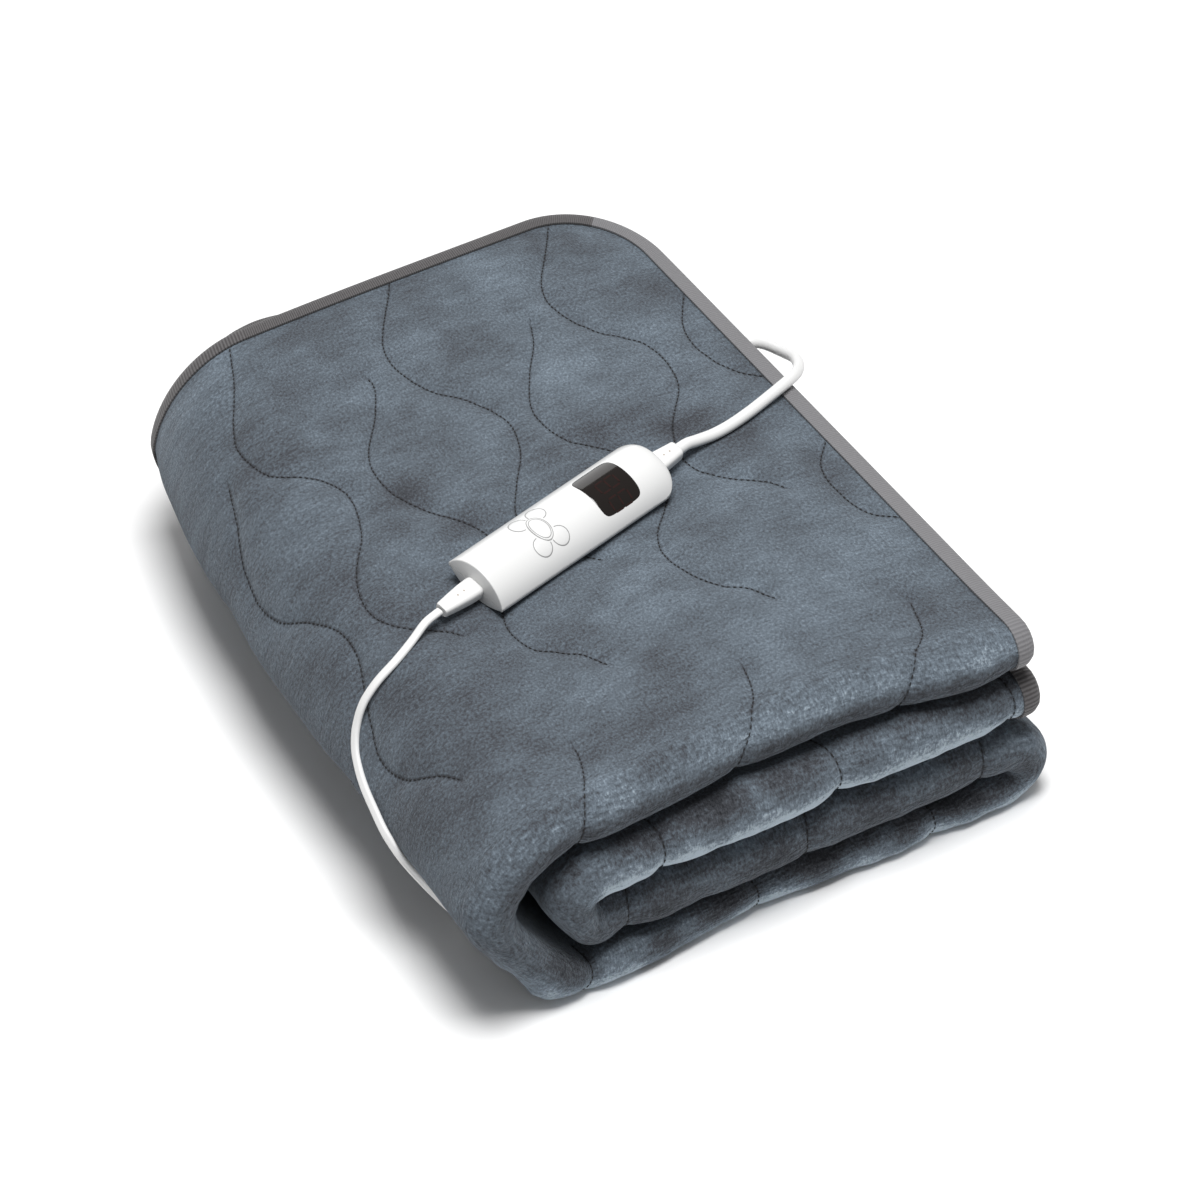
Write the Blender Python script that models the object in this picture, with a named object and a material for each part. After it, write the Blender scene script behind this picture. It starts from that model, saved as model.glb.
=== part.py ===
"""Heated blanket, folded into a stack, with its hand control, two leads and mains plug. Metres, +Z up.

The cloth is worked out flat: s runs along it from one bound end, v across it, w out of its middle surface.
It is then folded in half, with the fold at the front, and the doubled strip is turned back three times.
"""
import math

import bmesh
import bpy
from mathutils import Matrix, Vector

# Where the stack stands: outside of the tape at the top's bound end, back edge and front fold.
END_X = 0.1840
BACK_Y = 0.2395
FRONT_Y = -0.2535

# Straight runs of the doubled strip, from the end on top to the end under it: height of its middle,
# half its height, thickness of one sheet, set-back of the front fold at the run's start, middle and
# finish, and how far the under sheet's back edge slips out at its start and finish.
RUNS = (
    # name, middle, half, sheet, back_start, back_middle, back_finish, slip_start, slip_finish
    ("top", 0.1268, 0.0182, 0.0155, 0.000, 0.017, 0.010, 0.002, 0.016),
    ("bottom", 0.0125, 0.0125, 0.0110, 0.002, 0.006, 0.001, 0.012, 0.008),
    ("third", 0.0467, 0.0182, 0.0155, -0.002, 0.002, 0.004, 0.006, 0.005),
    ("second", 0.0867, 0.0182, 0.0155, 0.004, 0.001, -0.003, 0.004, 0.003),
)
# Turns between the runs: side of the stack, and how far in from END_X the turn's centre lies
# at the front, at one third and two thirds of the depth, and at the back.
TURNS = (
    # name, side, front, third, two_thirds, back
    ("outer", -1, 0.3155, 0.3090, 0.2990, 0.2670),
    ("right", 1, 0.0160, 0.0180, 0.0200, 0.0260),
    ("inner", -1, 0.2990, 0.2940, 0.2860, 0.2590),
)
MIDDLE, HALF_HEIGHT, SHEET = 1, 2, 3
SETBACKS, SLIPS = slice(4, 7), slice(7, 9)

SECOND_END = -0.0061                # the second run's bound end stands this much further out
HALF_WIDTH = 0.4650                 # of the cloth, from a long edge to the start of the front fold
FOLD_ARC = 0.0330                   # across the front fold
WIDTH = 2 * HALF_WIDTH + FOLD_ARC
SKEW = 0.035                        # the under sheet lies turned a little, by this slope
SKEW_LEFT = 0.30                    # share of the skew that is left at the far end of the strip
CROWN = 0.021                       # the stack's middle stands this much higher than its rim
CORNER = 0.070                      # radius of the cloth's corners
CORNER_REACH = 0.105                # grid points this near a corner move to round it
TAPE_SHARE = 0.68                   # under the tape's inner edge the sheet is pressed to this share
RIM_SHARE = 0.50                    # and at its rim to this one
EDGE_RISE = 0.030                   # the sheet is at full thickness this far in from the tape

# Quilting: wavy lines across the cloth, in columns along it.
QUILT_PITCH = 0.0584
QUILT_FIRST = 0.0175
QUILT_WAVE = 0.1560
QUILT_SWING = 0.0205
QUILT_PHASE = 0.1030
QUILT_DEPTH = 0.0016
QUILT_RUN = 0.312
QUILT_GAP = 0.060
QUILT_COLUMNS = 6

# Facets: steps along each turn, along each straight run under the top, and across the cloth.
TURN_STEPS = (9, 6, 6)
RUN_STEPS = 5
FIRST_HALF_STEPS = 21
FOLD_STEPS = 6

# Binding tape.
TAPE_REACH = 0.0120
TAPE = 0.0011
TAPE_GAP = 0.0005
NOSE_SHARE = 0.7

# Hand control: a lens-shaped housing that lies a little on its side.
CONTROL = Vector((-0.0125, -0.0361, 0.1546))
CONTROL_TURN = math.radians(13.9)
CONTROL_ROLL = math.radians(12.0)
CONTROL_LENGTH = 0.1520
CONTROL_WIDTH = 0.0465
CONTROL_RISE = 0.0155
CONTROL_DROP = 0.0090
CONTROL_NOSE = 0.0100
CONTROL_SEAM = 0.0003
CONTROL_EDGE = 0.0010
NOSE_LENGTH = 0.0160
NOSE_HEIGHT = 0.62
NOSE_STEPS = 4
LENS_STEPS = 6
PLATE_STRIPS = 8
WINDOW = (0.0320, 0.0335)
WINDOW_PLACE = (0.0325, 0.0)
WINDOW_CORNER = 0.0035
WINDOW_THICK = 0.0012
KEYPAD_PLACE = (-0.0240, 0.0010)
KEYPAD_THICK = 0.0012
KEYPAD_PROUD = 0.0002
KEYPAD_POINTS = 60
OVAL = (0.0062, 0.0098)
KEY_OFFSET = (0.0072, 0.0105)
KEY_RADIUS = 0.0060
SEAT_DEPTH = 0.0035
SEAT_RADIUS = 0.020
SEAT_FADE = 0.050

TOUCH = 0.0003                      # gap kept between pieces that touch
POCKET_GAP = 0.0006                 # round the window and the keypad in the cover

# Strain reliefs and the sleeve where the lead enters the cloth: place along, width, height.
SQUARENESS = 0.55
MAINS_RELIEF = ((0.0, 0.0135, 0.0095), (0.004, 0.0140, 0.0100), (0.016, 0.0128, 0.0092),
                (0.0245, 0.0100, 0.0078), (0.0285, 0.0092, 0.0072))
BLANKET_RELIEF = ((0.0, 0.0140, 0.0105), (0.005, 0.0145, 0.0105), (0.012, 0.0130, 0.0100),
                  (0.0205, 0.0112, 0.0095))
LEAD_SLEEVE = ((0.0, 0.0130, 0.0080), (0.003, 0.0135, 0.0085), (0.008, 0.0115, 0.0095),
               (0.0125, 0.0100, 0.0095))
SLEEVE_PLACE = Vector((0.1888, 0.1119, 0.0979))
SLEEVE_TURN = math.radians(-14.0)

# Leads, each a route of points chosen by hand.
BLANKET_LEAD = 0.0075
MAINS_LEAD = 0.0046
BLANKET_LEAD_ROUTE = (
    (0.0818, -0.0128, 0.1546), (0.0895, -0.0109, 0.1545), (0.0970, -0.0102, 0.1532),
    (0.1098, -0.0092, 0.1516), (0.1235, -0.0075, 0.1517), (0.1406, -0.0035, 0.1522),
    (0.1580, 0.0025, 0.1518), (0.1738, 0.0086, 0.1510), (0.1858, 0.0151, 0.1484),
    (0.1970, 0.0280, 0.1405), (0.2085, 0.0489, 0.1270), (0.2157, 0.0715, 0.1120),
    (0.2178, 0.0835, 0.1053), (0.2180, 0.0930, 0.1013), (0.2155, 0.1010, 0.0990),
    (0.2094, 0.1067, 0.0980), (0.2016, 0.1088, 0.0979),
)
MAINS_ROUTE = (
    (-0.1150, -0.0615, 0.1546), (-0.1205, -0.0628, 0.1542), (-0.1275, -0.0645, 0.1526),
    (-0.1386, -0.0687, 0.1474), (-0.1527, -0.0747, 0.1438), (-0.1677, -0.0781, 0.1370),
    (-0.1788, -0.0803, 0.1268), (-0.1856, -0.0835, 0.1148), (-0.1904, -0.0895, 0.1056),
    (-0.1940, -0.0987, 0.0990), (-0.1972, -0.1115, 0.0935), (-0.2002, -0.1285, 0.0900),
    (-0.2018, -0.1445, 0.0840), (-0.2028, -0.1575, 0.0730), (-0.2018, -0.1680, 0.0580),
    (-0.1977, -0.1745, 0.0420), (-0.1882, -0.1765, 0.0260), (-0.1744, -0.1725, 0.0125),
    (-0.1640, -0.1625, 0.0054), (-0.1598, -0.1485, 0.0026), (-0.1582, -0.1325, 0.0026),
    (-0.1568, -0.0975, 0.0026), (-0.1550, -0.0475, 0.0026), (-0.1525, 0.0025, 0.0026),
    (-0.1488, 0.0525, 0.0026), (-0.1432, 0.1025, 0.0026), (-0.1353, 0.1525, 0.0026),
    (-0.1252, 0.1975, 0.0026), (-0.1170, 0.2275, 0.0026), (-0.1060, 0.2505, 0.0026),
    (-0.0880, 0.2625, 0.0026), (-0.0620, 0.2643, 0.0026), (-0.0320, 0.2643, 0.0026),
    (-0.0020, 0.2645, 0.0026),
)
TAIL_ROUTE = (
    (0.0380, 0.2645, 0.0076), (0.0466, 0.2649, 0.0070), (0.0560, 0.2665, 0.0044),
    (0.0660, 0.2687, 0.0028), (0.0760, 0.2705, 0.0036), (0.0860, 0.2713, 0.0060),
    (0.0937, 0.2715, 0.0069),
)
COIL_PLACE = Vector((0.0180, 0.3010, 0.0))
COIL_RADII = (0.0198, 0.0392)
COIL_HEIGHT = 0.0102
COIL_STEPS = 28
PLUG_PLACE = Vector((0.0940, 0.2715, 0.0069))
PIN_RADIUS = 0.0020
PIN_LENGTH = 0.0190
PIN_SPACING = 0.0186


def smooth(t):
    """Ease from 0 to 1."""
    t = min(max(t, 0.0), 1.0)
    return t * t * (3.0 - 2.0 * t)


def mix(a, b, t):
    return a + (b - a) * t


def turn_x(turn, y):
    """Across the stack, where a turn's centre lies at depth y: a cubic through its four places."""
    a, b, c, d = TURNS[turn][2:]
    t = 3.0 * (y - FRONT_Y) / (BACK_Y - FRONT_Y)
    first, second, third = b - a, c - 2 * b + a, d - 3 * c + 3 * b - a
    inset = a + t * first + t * (t - 1) / 2 * second + t * (t - 1) * (t - 2) / 6 * third
    return END_X - inset


def run_ends(run, y):
    """Where a straight run starts and finishes, across the stack, at depth y."""
    edge = TAPE + TAPE_GAP
    start = END_X - edge if run == 0 else turn_x(run - 1, y)
    finish = END_X - SECOND_END - edge if run == len(RUNS) - 1 else turn_x(run, y)
    return start, finish


def turn_radius(turn):
    return abs(RUNS[turn][MIDDLE] - RUNS[turn + 1][MIDDLE]) / 2


def strip_parts():
    """Lengths of the strip's runs and turns, in order, at the middle of its depth."""
    middle_y = (FRONT_Y + BACK_Y) / 2
    parts = []
    for run in range(len(RUNS)):
        start, finish = run_ends(run, middle_y)
        parts.append(("run", run, abs(finish - start)))
        if run < len(TURNS):
            parts.append(("turn", run, math.pi * turn_radius(run)))
    return parts


PARTS = strip_parts()
LENGTH = sum(part[2] for part in PARTS)


def find_part(s):
    """The run or turn that station s lies in, and the share of it that is behind s."""
    for kind, index, length in PARTS:
        if s <= length or (kind, index) == ("run", len(RUNS) - 1):
            return kind, index, s / length
        s -= length


def along_run(values, t):
    """A run's value at share t, from its values at start, middle and finish or at start and finish."""
    if len(values) == 2:
        return mix(values[0], values[1], t)
    a, b, c = values
    return mix(a, b, smooth(2 * t)) if t < 0.5 else mix(b, c, smooth(2 * t - 1))


def strip_value(s, columns):
    """A tabled value of the strip at station s, eased round the turns."""
    kind, index, t = find_part(s)
    if kind == "run":
        values = RUNS[index][columns]
        return along_run(values, t) if isinstance(values, tuple) else values
    before, after = RUNS[index][columns], RUNS[index + 1][columns]
    if isinstance(before, tuple):
        before, after = before[-1], after[0]
    return mix(before, after, smooth(t))


def strip_middle(s, y):
    """The strip's middle at station s and depth y, and the direction out of its first face, in XZ."""
    kind, index, t = find_part(s)
    if kind == "run":
        start, finish = run_ends(index, y)
        way = math.copysign(1.0, finish - start)
        return Vector((mix(start, finish, t), RUNS[index][MIDDLE])), Vector((0.0, -way))
    side = TURNS[index][1]
    above, below = RUNS[index][MIDDLE], RUNS[index + 1][MIDDLE]
    angle = math.pi * t
    half = (above - below) / 2
    place = Vector((turn_x(index, y) + side * abs(half) * math.sin(angle),
                    (above + below) / 2 + half * math.cos(angle)))
    way = Vector((side * abs(half) * math.cos(angle), -half * math.sin(angle))).normalized()
    return place, Vector((way.y, -way.x))


def control_distance(x, y):
    """Distance, seen from above, from the hand control's long axis."""
    along = Vector((math.cos(CONTROL_TURN), math.sin(CONTROL_TURN)))
    offset = Vector((x, y)) - CONTROL.xy
    share = max(-CONTROL_LENGTH / 2, min(CONTROL_LENGTH / 2, offset.dot(along)))
    return (offset - along * share).length


def settled(x, y, z):
    """The stack's crown, and the seat that the hand control presses into its top."""
    crown = (1 - min(abs(x / 0.21), 1) ** 4) * (1 - min(abs(y / 0.27), 1) ** 4)
    seat = 1 - smooth((control_distance(x, y) - SEAT_RADIUS) / SEAT_FADE)
    level = z / (RUNS[0][MIDDLE] + RUNS[0][HALF_HEIGHT])
    return Vector((x, y, z * (1 + CROWN * crown) - SEAT_DEPTH * seat * max(level, 0) ** 4))


def folded(s, v, w):
    """Where a point of the flat cloth lies in the stack."""
    half = strip_value(s, HALF_HEIGHT)
    radius = half - strip_value(s, SHEET) / 2
    front = FRONT_Y + strip_value(s, SETBACKS) + half
    if v <= HALF_WIDTH:
        y = mix(BACK_Y - TAPE - TAPE_GAP, front, v / HALF_WIDTH)
        h = radius + w
    elif v < HALF_WIDTH + FOLD_ARC:
        angle = math.pi * (v - HALF_WIDTH) / FOLD_ARC
        y = front - (radius + w) * math.sin(angle)
        h = (radius + w) * math.cos(angle)
    else:
        share = (v - HALF_WIDTH - FOLD_ARC) / HALF_WIDTH
        y = mix(front, BACK_Y - TAPE - TAPE_GAP + strip_value(s, SLIPS), share)
        h = -(radius + w)
        s -= SKEW * mix(1.0, SKEW_LEFT, s / LENGTH) * HALF_WIDTH * share
    place, out = strip_middle(s, y)
    point = place + out * h
    return settled(point.x, y, point.y)


# The flat cloth ----------------------------------------------------------------------------------
def corner_point(a, b):
    """Round the cloth's corner: a and b are a point's distances from the two edges that meet there."""
    depth, reach = min(a, b), max(a, b)
    if depth >= CORNER or reach >= CORNER_REACH:
        return a, b
    radius = CORNER - depth
    arc = math.pi / 4 * radius
    along = (reach - depth) / (CORNER_REACH - depth) * (CORNER_REACH - CORNER + arc)
    if along >= arc:
        near, far = depth, CORNER + along - arc
    else:
        angle = math.pi / 4 - along / radius
        near, far = CORNER - radius * math.cos(angle), CORNER - radius * math.sin(angle)
    return (near, far) if a <= b else (far, near)


def outline_point(s, v):
    """Move a point of the full rectangle to its place inside the rounded corners."""
    from_end, from_edge = min(s, LENGTH - s), min(v, WIDTH - v)
    a, b = corner_point(from_end, from_edge)
    return (a if s <= LENGTH / 2 else LENGTH - a), (b if v <= WIDTH / 2 else WIDTH - b)


def edge_distance(s, v):
    return min(s, LENGTH - s, v, WIDTH - v)


def half_sheet(s, v):
    """Half the sheet's thickness, pressed at the bound edge."""
    depth = edge_distance(s, v)
    share = mix(RIM_SHARE, TAPE_SHARE, depth / TAPE_REACH)
    if depth > TAPE_REACH:
        share = mix(TAPE_SHARE, 1.0, smooth((depth - TAPE_REACH) / EDGE_RISE))
    return strip_value(s, SHEET) / 2 * share


def quilt_wave(s, v):
    """How far the quilting's lines swing along the cloth at a point; lines side by side mirror it."""
    phase = math.cos(math.pi * (s - QUILT_FIRST) / QUILT_PITCH)
    swing = QUILT_SWING * phase * math.sin(math.tau * (v + QUILT_PHASE) / QUILT_WAVE)
    last = QUILT_FIRST + QUILT_COLUMNS * QUILT_PITCH
    fade = smooth((s - 0.02) / 0.04) * (1 - smooth((s - last) / 0.04))
    return swing * fade * (1 - smooth((v - HALF_WIDTH) / 0.02)) * smooth((v - TAPE_REACH) / 0.02)


def quilt_trough(column, v):
    """1 on a stitched stretch of a quilting column and 0 in its gaps; odd columns start at the edge."""
    start = 0.004 if column % 2 else 0.080
    place = (v - start) % (QUILT_RUN + QUILT_GAP)
    inside = smooth(place / 0.02) * (1 - smooth((place - QUILT_RUN) / 0.02))
    return inside if v > start else 0.0


def along_stations():
    """Stations along the cloth, and for each the quilting column that it follows, or None."""
    stations = [(0.0, None), (TAPE_REACH, None), (0.034, None), (0.055, None)]
    for column in range(1, QUILT_COLUMNS):
        line = QUILT_FIRST + column * QUILT_PITCH
        stations += [(line + QUILT_PITCH * step / 3, None if step else column) for step in range(3)]
    stations = stations[:-2]
    place = 0.0
    for kind, index, length in PARTS:
        start, finish = max(place, stations[-1][0]), place + length
        place = finish
        if index == len(RUNS) - 1:
            finish = LENGTH - TAPE_REACH - 0.022
        steps = TURN_STEPS[index] if kind == "turn" else RUN_STEPS
        if finish > start:
            stations += [(mix(start, finish, step / steps), None) for step in range(1, steps + 1)]
    return stations + [(LENGTH - TAPE_REACH, None), (LENGTH, None)]


def across_stations():
    """Stations across the cloth: fine on the first half, coarse on the hidden second half."""
    inset = 0.032
    first = [0.0, TAPE_REACH]
    first += [mix(inset, HALF_WIDTH, step / FIRST_HALF_STEPS) for step in range(FIRST_HALF_STEPS + 1)]
    fold = [HALF_WIDTH + FOLD_ARC * step / FOLD_STEPS for step in range(1, FOLD_STEPS + 1)]
    second = [mix(fold[-1], WIDTH - inset, step / RUN_STEPS) for step in range(1, RUN_STEPS + 1)]
    return first + fold + second + [WIDTH - TAPE_REACH, WIDTH]


def cloth_point(station, column, v, face):
    """A point on one face of the folded cloth, quilted."""
    half = half_sheet(station, v)
    if column is not None:
        half -= QUILT_DEPTH * quilt_trough(column, v)
    s, across = outline_point(station, v)
    return folded(s + quilt_wave(station, v), across, face * half)


# Pieces ------------------------------------------------------------------------------------------
def material(name, colour, roughness, metallic=0.0):
    made = bpy.data.materials.new(name)
    made.use_nodes = True
    shader = made.node_tree.nodes["Principled BSDF"]
    shader.inputs["Base Color"].default_value = (*colour, 1.0)
    shader.inputs["Roughness"].default_value = roughness
    shader.inputs["Metallic"].default_value = metallic
    return made


PLUSH = material("plush", (0.085, 0.105, 0.130), 0.95)
TAPE_WEAVE = material("tape", (0.130, 0.130, 0.135), 0.85)
WHITE_PLASTIC = material("white_plastic", (0.82, 0.82, 0.80), 0.35)
SMOKED_PLASTIC = material("smoked_plastic", (0.012, 0.011, 0.010), 0.08)
WHITE_VINYL = material("white_vinyl", (0.80, 0.80, 0.79), 0.45)
PIN_METAL = material("pin_metal", (0.72, 0.71, 0.68), 0.25, 1.0)


def add_mesh(name, shape, finish):
    """Turn a bmesh into a named object with its faces pointing out."""
    bmesh.ops.recalc_face_normals(shape, faces=shape.faces)
    mesh = bpy.data.meshes.new(name)
    shape.to_mesh(mesh)
    shape.free()
    mesh.shade_smooth()
    mesh.set_sharp_from_angle(angle=math.radians(40))
    mesh.materials.append(finish)
    made = bpy.data.objects.new(name, mesh)
    bpy.context.collection.objects.link(made)
    return made


def grid_faces(shape, rows, closed=False):
    """Quads between rows of vertices."""
    count = len(rows[0])
    for row, following in zip(rows, rows[1:]):
        for step in range(count if closed else count - 1):
            after = (step + 1) % count
            shape.faces.new((row[step], row[after], following[after], following[step]))


def rim_of(rows):
    """The vertices round the outside of a grid, in order."""
    count = len(rows[0])
    down = [rows[0][step] for step in range(count)]
    right = [row[-1] for row in rows[1:]]
    up = [rows[-1][step] for step in range(count - 2, -1, -1)]
    left = [row[0] for row in rows[-2:0:-1]]
    return down + right + up + left


def make_blanket():
    shape = bmesh.new()
    faces = []
    for face in (1, -1):
        rows = [[shape.verts.new(cloth_point(s, column, v, face)) for v in across_stations()]
                for s, column in along_stations()]
        grid_faces(shape, rows)
        faces.append(rim_of(rows))
    grid_faces(shape, faces, closed=True)
    return add_mesh("blanket", shape, PLUSH)


def tape_section(s, v):
    """The tape's closed C at one place on the cloth's rim: outer face, then inner face."""
    end, edge = min(s, LENGTH - s), min(v, WIDTH - v)
    along = max(end, edge)
    if along < CORNER_REACH:
        along = mix(TAPE_REACH, CORNER_REACH, along / CORNER_REACH)
        near_end, near_edge = (TAPE_REACH, along) if end < edge else (along, TAPE_REACH)
        if end == edge:
            near_end = near_edge = TAPE_REACH
    else:
        near_end, near_edge = (TAPE_REACH, edge) if end < edge else (end, TAPE_REACH)
    inner_s = near_end if s <= LENGTH / 2 else LENGTH - near_end
    inner_v = near_edge if v <= WIDTH / 2 else WIDTH - near_edge
    rim, inner = Vector(outline_point(s, v)), Vector(outline_point(inner_s, inner_v))
    out = (rim - inner).normalized()
    low_rim, low_inner = half_sheet(s, v) + TAPE_GAP, half_sheet(inner_s, inner_v) + TAPE_GAP
    high_rim, high_inner = low_rim + TAPE, low_inner + TAPE
    nose = rim + out * (TAPE_GAP + TAPE)
    outer = [(inner, high_inner), (rim, high_rim), (nose, high_rim * NOSE_SHARE),
             (nose, -high_rim * NOSE_SHARE), (rim, -high_rim), (inner, -high_inner)]
    groove = rim + out * TAPE_GAP
    lining = [(inner, -low_inner), (groove, -low_rim), (groove, low_rim), (inner, low_inner)]
    return [folded(flat.x, flat.y, w) for flat, w in outer + lining]


def make_binding():
    shape = bmesh.new()
    along = [s for s, column in along_stations()]
    across = across_stations()
    places = [(along[0], v) for v in across] + [(s, across[-1]) for s in along[1:]]
    places += [(along[-1], v) for v in across[-2::-1]] + [(s, across[0]) for s in along[-2:0:-1]]
    rows = [[shape.verts.new(point) for point in tape_section(s, v)] for s, v in places]
    grid_faces(shape, rows + rows[:1], closed=True)
    return add_mesh("binding", shape, TAPE_WEAVE)


# Hand control ------------------------------------------------------------------------------------
def control_frame():
    turn = Matrix.Rotation(CONTROL_TURN, 4, "Z") @ Matrix.Rotation(CONTROL_ROLL, 4, "X")
    return Matrix.Translation(CONTROL) @ turn


def lens_height(b, rise):
    """Height of one half of the housing over its seam, at b across it."""
    half, bulge = CONTROL_WIDTH / 2, rise - CONTROL_EDGE
    radius = (half ** 2 + bulge ** 2) / (2 * bulge)
    return CONTROL_EDGE + math.sqrt(max(radius ** 2 - b ** 2, 0.0)) - (radius - bulge)


def make_shell(name, rise, way, finish):
    """One half of the housing: way is 1 for the cover and -1 for the base."""
    shape = bmesh.new()
    half = CONTROL_WIDTH / 2
    sections = [(-CONTROL_LENGTH / 2, 1.0)]
    for step in range(NOSE_STEPS + 1):
        t = step / NOSE_STEPS
        back = NOSE_LENGTH * (1 - t)
        sections.append((CONTROL_LENGTH / 2 - back, mix(1.0, NOSE_HEIGHT, t ** 2)))
    rows = []
    for along, height in sections:
        row = []
        for step in range(-LENS_STEPS, LENS_STEPS + 1):
            b = half * math.sin(math.pi / 2 * step / LENS_STEPS)
            nose = CONTROL_NOSE * (b / half) ** 2 * smooth((along + 0.02) / (CONTROL_LENGTH / 2 - 0.02))
            z = CONTROL_EDGE + (lens_height(b, rise) - CONTROL_EDGE) * height
            row.append(Vector((along - nose, b, way * z)))
        first, last = row[0], row[-1]
        row += [Vector((end.x, end.y, way * CONTROL_SEAM / 2)) for end in (last, first)]
        rows.append([shape.verts.new(point) for point in row])
    grid_faces(shape, rows, closed=True)
    shape.faces.new(rows[0])
    shape.faces.new(rows[-1])
    made = add_mesh(name, shape, finish)
    made.matrix_world = control_frame()
    return made


def bent_plate(name, outline, low, high, finish):
    """A plate of this outline that follows the cover's dome, between two heights over it."""
    shape = bmesh.new()
    base = shape.faces.new([shape.verts.new((a, b, 0.0)) for a, b in outline])
    raised = bmesh.ops.extrude_face_region(shape, geom=[base])["geom"]
    for item in raised:
        if isinstance(item, bmesh.types.BMVert):
            item.co.z = 1.0
    for step in range(-PLATE_STRIPS, PLATE_STRIPS + 1):
        cut = CONTROL_WIDTH / 2 * step / PLATE_STRIPS
        geometry = shape.verts[:] + shape.edges[:] + shape.faces[:]
        bmesh.ops.bisect_plane(shape, geom=geometry, dist=1e-5, plane_co=(0, cut, 0), plane_no=(0, 1, 0))
    for vertex in shape.verts:
        over = high if vertex.co.z > 0.5 else low
        vertex.co.z = lens_height(vertex.co.y, CONTROL_RISE) + over
    made = add_mesh(name, shape, finish)
    made.matrix_world = control_frame()
    return made


def rounded_box(length, width, radius, centre, steps=4):
    """Outline of a rounded rectangle round a place on the cover."""
    points = []
    for quarter in range(4):
        corner_a = (length / 2 - radius) * (1, -1, -1, 1)[quarter]
        corner_b = (width / 2 - radius) * (1, 1, -1, -1)[quarter]
        for step in range(steps + 1):
            angle = math.pi / 2 * (quarter + step / steps)
            points.append((centre[0] + corner_a + radius * math.cos(angle),
                           centre[1] + corner_b + radius * math.sin(angle)))
    return points


def keypad_outline():
    """Outline of the soft keypad: an oval with four round keys set round it."""
    keys = [(KEY_OFFSET[0] * a, KEY_OFFSET[1] * b) for a, b in ((1, 1), (-1, 1), (-1, -1), (1, -1))]
    points = []
    for step in range(KEYPAD_POINTS):
        angle = math.tau * step / KEYPAD_POINTS
        ray = Vector((math.cos(angle), math.sin(angle)))
        reach = 1 / math.hypot(ray.x / OVAL[0], ray.y / OVAL[1])
        for centre in (Vector(key) for key in keys):
            along = ray.dot(centre)
            inside = KEY_RADIUS ** 2 - (centre.length_squared - along ** 2)
            if along > 0 and inside > 0:
                reach = max(reach, along + math.sqrt(inside))
        points.append((KEYPAD_PLACE[0] + ray.x * reach, KEYPAD_PLACE[1] + ray.y * reach))
    return points


def grown(points, gap):
    """An outline moved out by this gap, point by point."""
    moved = []
    for before, point, after in zip(points[-1:] + points[:-1], points, points[1:] + points[:1]):
        way = (Vector(after) - Vector(before)).normalized()
        moved.append((point[0] + way.y * gap, point[1] - way.x * gap))
    return moved


def cut_pocket(target, name, outline, depth):
    cutter = bent_plate(name, outline, -depth, 0.004, WHITE_PLASTIC)
    cutter.hide_render = True
    cutter.display_type = "WIRE"
    cut = target.modifiers.new(name, "BOOLEAN")
    cut.operation = "DIFFERENCE"
    cut.object = cutter


def make_control():
    make_shell("control_base", CONTROL_DROP, -1, WHITE_PLASTIC)
    cover = make_shell("control_cover", CONTROL_RISE, 1, WHITE_PLASTIC)
    length, width = WINDOW
    clear = 2 * POCKET_GAP
    pocket = rounded_box(length + clear, width + clear, WINDOW_CORNER + POCKET_GAP, WINDOW_PLACE)
    cut_pocket(cover, "window_pocket", pocket, WINDOW_THICK + TOUCH)
    cut_pocket(cover, "keypad_pocket", grown(keypad_outline(), POCKET_GAP), KEYPAD_THICK + TOUCH)
    pane = rounded_box(length, width, WINDOW_CORNER, WINDOW_PLACE)
    bent_plate("control_window", pane, -WINDOW_THICK, 0.0, SMOKED_PLASTIC)
    bent_plate("control_keypad", keypad_outline(), -KEYPAD_THICK, KEYPAD_PROUD, WHITE_VINYL)


# Leads -------------------------------------------------------------------------------------------
def loft(name, sections, frame, finish, sides=12):
    """A closed body through rounded sections: place along X, width and height."""
    shape = bmesh.new()
    rows = []
    for along, width, height in sections:
        row = []
        for side in range(sides):
            angle = math.tau * (side + 0.5) / sides
            b = math.copysign(abs(math.cos(angle)) ** SQUARENESS, math.cos(angle)) * width / 2
            z = math.copysign(abs(math.sin(angle)) ** SQUARENESS, math.sin(angle)) * height / 2
            row.append(shape.verts.new((along, b, z)))
        rows.append(row)
    grid_faces(shape, rows, closed=True)
    shape.faces.new(rows[0])
    shape.faces.new(rows[-1])
    made = add_mesh(name, shape, finish)
    made.matrix_world = frame
    return made


def smooth_route(points, spacing):
    """Points at even spacing along a Catmull-Rom curve through a route's own points."""
    points = [Vector(point) for point in points]
    ends = [2 * points[0] - points[1]] + points + [2 * points[-1] - points[-2]]
    fine = []
    for a, b, c, d in zip(ends, ends[1:], ends[2:], ends[3:]):
        for step in range(16):
            t = step / 16
            fine.append(0.5 * (2 * b + (c - a) * t + (2 * a - 5 * b + 4 * c - d) * t ** 2
                               + (3 * b - a - 3 * c + d) * t ** 3))
    fine.append(points[-1])
    lengths = [0.0]
    for before, after in zip(fine, fine[1:]):
        lengths.append(lengths[-1] + (after - before).length)
    count = max(2, round(lengths[-1] / spacing))
    even, place = [], 0
    for step in range(count + 1):
        wanted = lengths[-1] * step / count
        while place < len(lengths) - 2 and lengths[place + 1] < wanted:
            place += 1
        span = lengths[place + 1] - lengths[place]
        even.append(fine[place].lerp(fine[place + 1], (wanted - lengths[place]) / span))
    return even


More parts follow.
